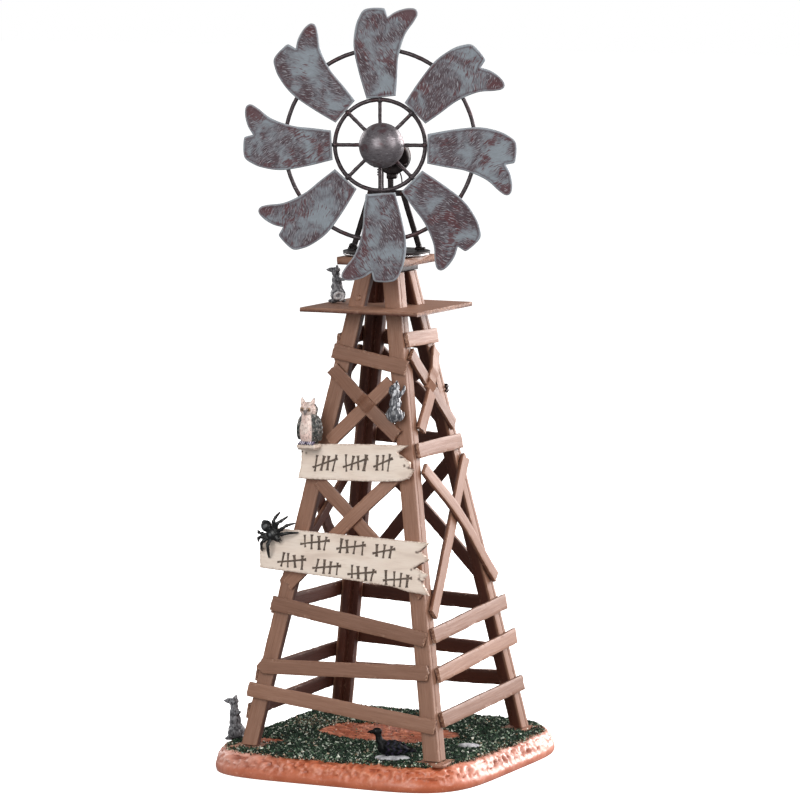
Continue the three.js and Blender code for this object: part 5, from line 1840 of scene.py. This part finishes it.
def rat(node, height, girth, paws, place, seed, scruff):
    """A rat reared up on its haunches: muzzle along -Y, paws reaching out, a pale tail curled at its side."""
    s = height / 16
    c = Clay()
    tail_side = -1 if scruff == 0 else 1

    def k(*lengths):
        return tuple(v * s for v in lengths)

    c.egg(k(0, 0.3, 3.3), k(2.7, 2.6, 3.2)).egg(k(0, 0, 6.6), k(2.05, 1.95, 3.2))
    c.egg(k(0, -0.2, 9.4), k(1.75, 1.65, 2.6)).egg(k(0, -0.3, 12.0), k(1.25, 1.3, 1.9))
    c.egg(k(0, -0.5, 13.6), k(1.45, 1.75, 1.3), (18, 0, 0))
    c.limb([k(0, -1.4, 13.7), k(0, -2.3, 13.8), k(0, -3.0, 13.7)], k(1.15, 0.95, 0.6))
    for side in (-1, 1):
        c.egg(k(side * 1.15, 0.1, 14.9), k(0.8, 0.4, 0.95), (10, side * 20, side * 12))
        c.egg(k(side * 1.7, 0.1, 2.6), k(1.6, 2.2, 2.3), (0, side * 10, 0))
        c.limb([k(side * 1.6, -0.6, 0.8), k(side * 1.7, -2.7, 0.55)], k(0.85, 0.5))
        shoulder = Vector(k(side * 1.2, -0.1, 10.0))
        reach = Vector((paws[0], paws[1], 10.4 * s))
        middle = shoulder.lerp(reach, 0.5) + Vector((side * 0.3, 0, -0.5 * s))
        c.limb([shoulder, middle, reach + Vector((side * 0.3, 0, 0))], k(0.85, 0.62, 0.42))
        c.detail(k(side * 0.85, -1.75, 14.25), k(0.22, 0.22, 0.24), rgb(12, 12, 12))
        inner_ear = (10, side * 20, side * 12)
        c.detail(k(side * 1.18, -0.22, 15.0), k(0.46, 0.16, 0.6), rgb(70, 62, 64), inner_ear)
    c.detail(k(0, -3.5, 13.85), k(0.34, 0.3, 0.3), rgb(12, 12, 12))
    tail = []
    for step in range(22):
        t = step / 21
        angle = math.radians(-70 + 470 * t)
        r = 2.1 - 1.55 * t
        out = tail_side * (2.55 + 0.5 * math.sin(math.pi * t))
        tail.append(Vector(k(out, 0.5 + r * math.cos(angle), 2.9 + r * math.sin(angle))))
    c.limb(tail, k(0.46, 0.4, 0.3))
    c.limb([k(0, 2.2, 1.0), k(tail_side * 1.4, 2.6, 0.8), tail[0]], k(0.6, 0.5, 0.46))

    def fur(p):
        return n3(p.x * 2.2 + seed, p.y * 2.2, p.z * 0.75)

    def relief(p, n):
        tuft = max(0.0, n3(p.x * 1.1 + seed, p.y * 1.1, p.z * 0.9)) * scruff
        tip = 0.35 if p.z > 12.6 * s else 1.0
        return (0.13 * fur(p) + 0.45 * tuft) * s * tip

    def colour(p, n):
        pale = ease(fur(p), -0.35, 0.4) * (0.75 if scruff else 0.95)
        tone = blended(rgb(62, 61, 66), rgb(146, 145, 150), pale)
        tone = blended(tone, rgb(50, 48, 52), ease(-p.x * tail_side, 1.0 * s, 2.4 * s) * 0.6)
        nearest = min((p - point).length for point in tail)
        tone = blended(tone, rgb(206, 204, 206), ease(0.62 * s - nearest, 0.0, 0.16 * s))
        # painted shade: the lowest part of the sides and underside, where the rat meets the ground, is
        # darkened
        if p.z < 1.3 * s and n.z < 0.3:
            tone = blended(tone, rgb(44, 42, 44), 0.6)
        return tone
    stout = place @ Matrix.Diagonal((girth, girth, 1, 1))
    c.figure(node + "_figure", 0.16, 2, relief, colour, stout, GREY_FUR, [node])


rat("rat_base", 17.2, 1.1, (3.0, 2.3), placed(-49.2, -30.8, 9.7, -75), 2.0, 0.0)
rat("rat_deck", 14.4, 1.2, (2.8, 2.8), placed(-19.6, -2.6, 175.9, -65), 9.0, 1.0)


def climbing_rat():
    """Clings head up to the front of the tower, with its tail curled over its back."""
    place = FRONT @ Matrix.Translation((14.2, 139.8 * SLOPE, 5.0))
    c = Clay()
    c.egg((0, -3.7, 0), (2.75, 3.5, 2.1)).egg((0.1, 0.2, 0), (2.2, 3.2, 1.9))
    c.egg((0.1, 3.2, -0.1), (1.8, 2.6, 1.7))
    c.egg((-0.2, 6.3, -0.2), (1.35, 1.8, 1.35)).limb([(-0.2, 7.2, -0.3), (-0.2, 8.3, -0.7)], (0.9, 0.45))
    for side in (-1, 1):
        c.egg((side * 1.05 - 0.2, 5.9, 0.6), (0.7, 0.75, 0.4), (0, 0, side * -20))
        c.limb([(side * 1.5, 3.4, -0.2), (side * 2.7, 5.0, -0.8), (side * 2.5, 6.9, -1.7)], (0.85, 0.62, 0.4))
        c.egg((side * 1.9, -4.0, -0.3), (1.4, 2.2, 1.6))
        foot = [(side * 2.2, -5.6, -0.9), (side * 2.8, -4.4, -2.0), (side * 2.6, -2.8, -2.6)]
        c.limb(foot, (0.8, 0.6, 0.4))
    c.limb([(1.2, -5.8, 1.1), (2.5, -4.2, 1.2), (2.2, -2.4, 1.5), (1.5, -1.2, 1.8)], (0.42, 0.36, 0.32, 0.22))

    def fur(p):
        return n3(p.x * 2.0, p.y * 0.75, p.z * 2.0)

    def relief(p, n):
        tuft = 0.16 * fur(p) + 0.3 * max(0.0, n3(p.x * 1.4 + 4, p.y * 0.6, p.z))
        return tuft * ease(p.y, -3.5, 0.5) + 0.05 * fur(p)

    def colour(p, n):
        tone = blended(rgb(58, 60, 66), rgb(94, 96, 102), ease(fur(p), -0.2, 0.4))
        # painted highlight: white glints streaked over the rat's right-hand side, towards the lamp, and pale
        # glints at the strongest streaks all over
        streak = n3(p.x * 1.3 + 9, p.y * 0.45, p.z * 1.3)
        tone = blended(tone, rgb(214, 216, 220), ease(streak, 0.16, 0.3) * ease(p.x + 0.16 * p.y, -0.6, 0.8))
        tone = blended(tone, rgb(196, 198, 202), ease(streak, 0.3, 0.42) * 0.7)
        return blended(tone, rgb(36, 36, 40), ease(-p.y, 3.2, 5.6) * 0.5 * ease(p.x, -0.4, 1.0))
    c.figure("rat_climbing_figure", 0.15, 2, relief, colour, place, DARK_FUR, ["rat_climbing"])


climbing_rat()


def make_plug(height=178.8):
    """A pale wooden plug in the neck, low on the front left leg's front face."""
    plug = Shell()
    out = FOOT_REACH - TAPER * height
    place = Matrix.Translation((-out + 3.4, -out, height)) @ Matrix.Rotation(math.radians(79.6), 4, "X")
    profile = [(0.0, 0.75), (0.7, 0.72), (1.0, 0.55), (1.2, 0.2), (1.25, -0.2), (0.0, -0.2)]
    turned(plug, softened(profile, 0.12), place, 36, 3, 0.03)
    every = range(len(plug.co))
    plug.data = {"grain": {i: (x * 0.3, y, z) for i, (x, y, z) in enumerate(plug.co)},
                 "wear": dict.fromkeys(every, 1.0), "tone": dict.fromkeys(every, 1.0)}
    plug.piece("leg_plug", "tower", TIMBER, (), 40)


make_plug()


# ---------------------------------------------------------------- finish
link(bpy.data.objects.new("floor", bpy.data.meshes.new("floor")))
floor = bpy.data.objects["floor"]
floor.data.from_pydata([(-6, -6, 0), (6, -6, 0), (6, 6, 0), (-6, 6, 0)], [], [(0, 1, 2, 3)])
p = Paint("pale_floor", 0.9, specular=0.1)
p.set("Base Color", p.mix(p.noise(p.object, 3.0), rgb(243, 243, 243), rgb(246, 246, 245)))
p.set("Emission Color", rgb(255, 255, 255)).set("Emission Strength", 0.86)
floor.data.materials.append(p.mat)
floor.visible_diffuse = False
floor.visible_glossy = False
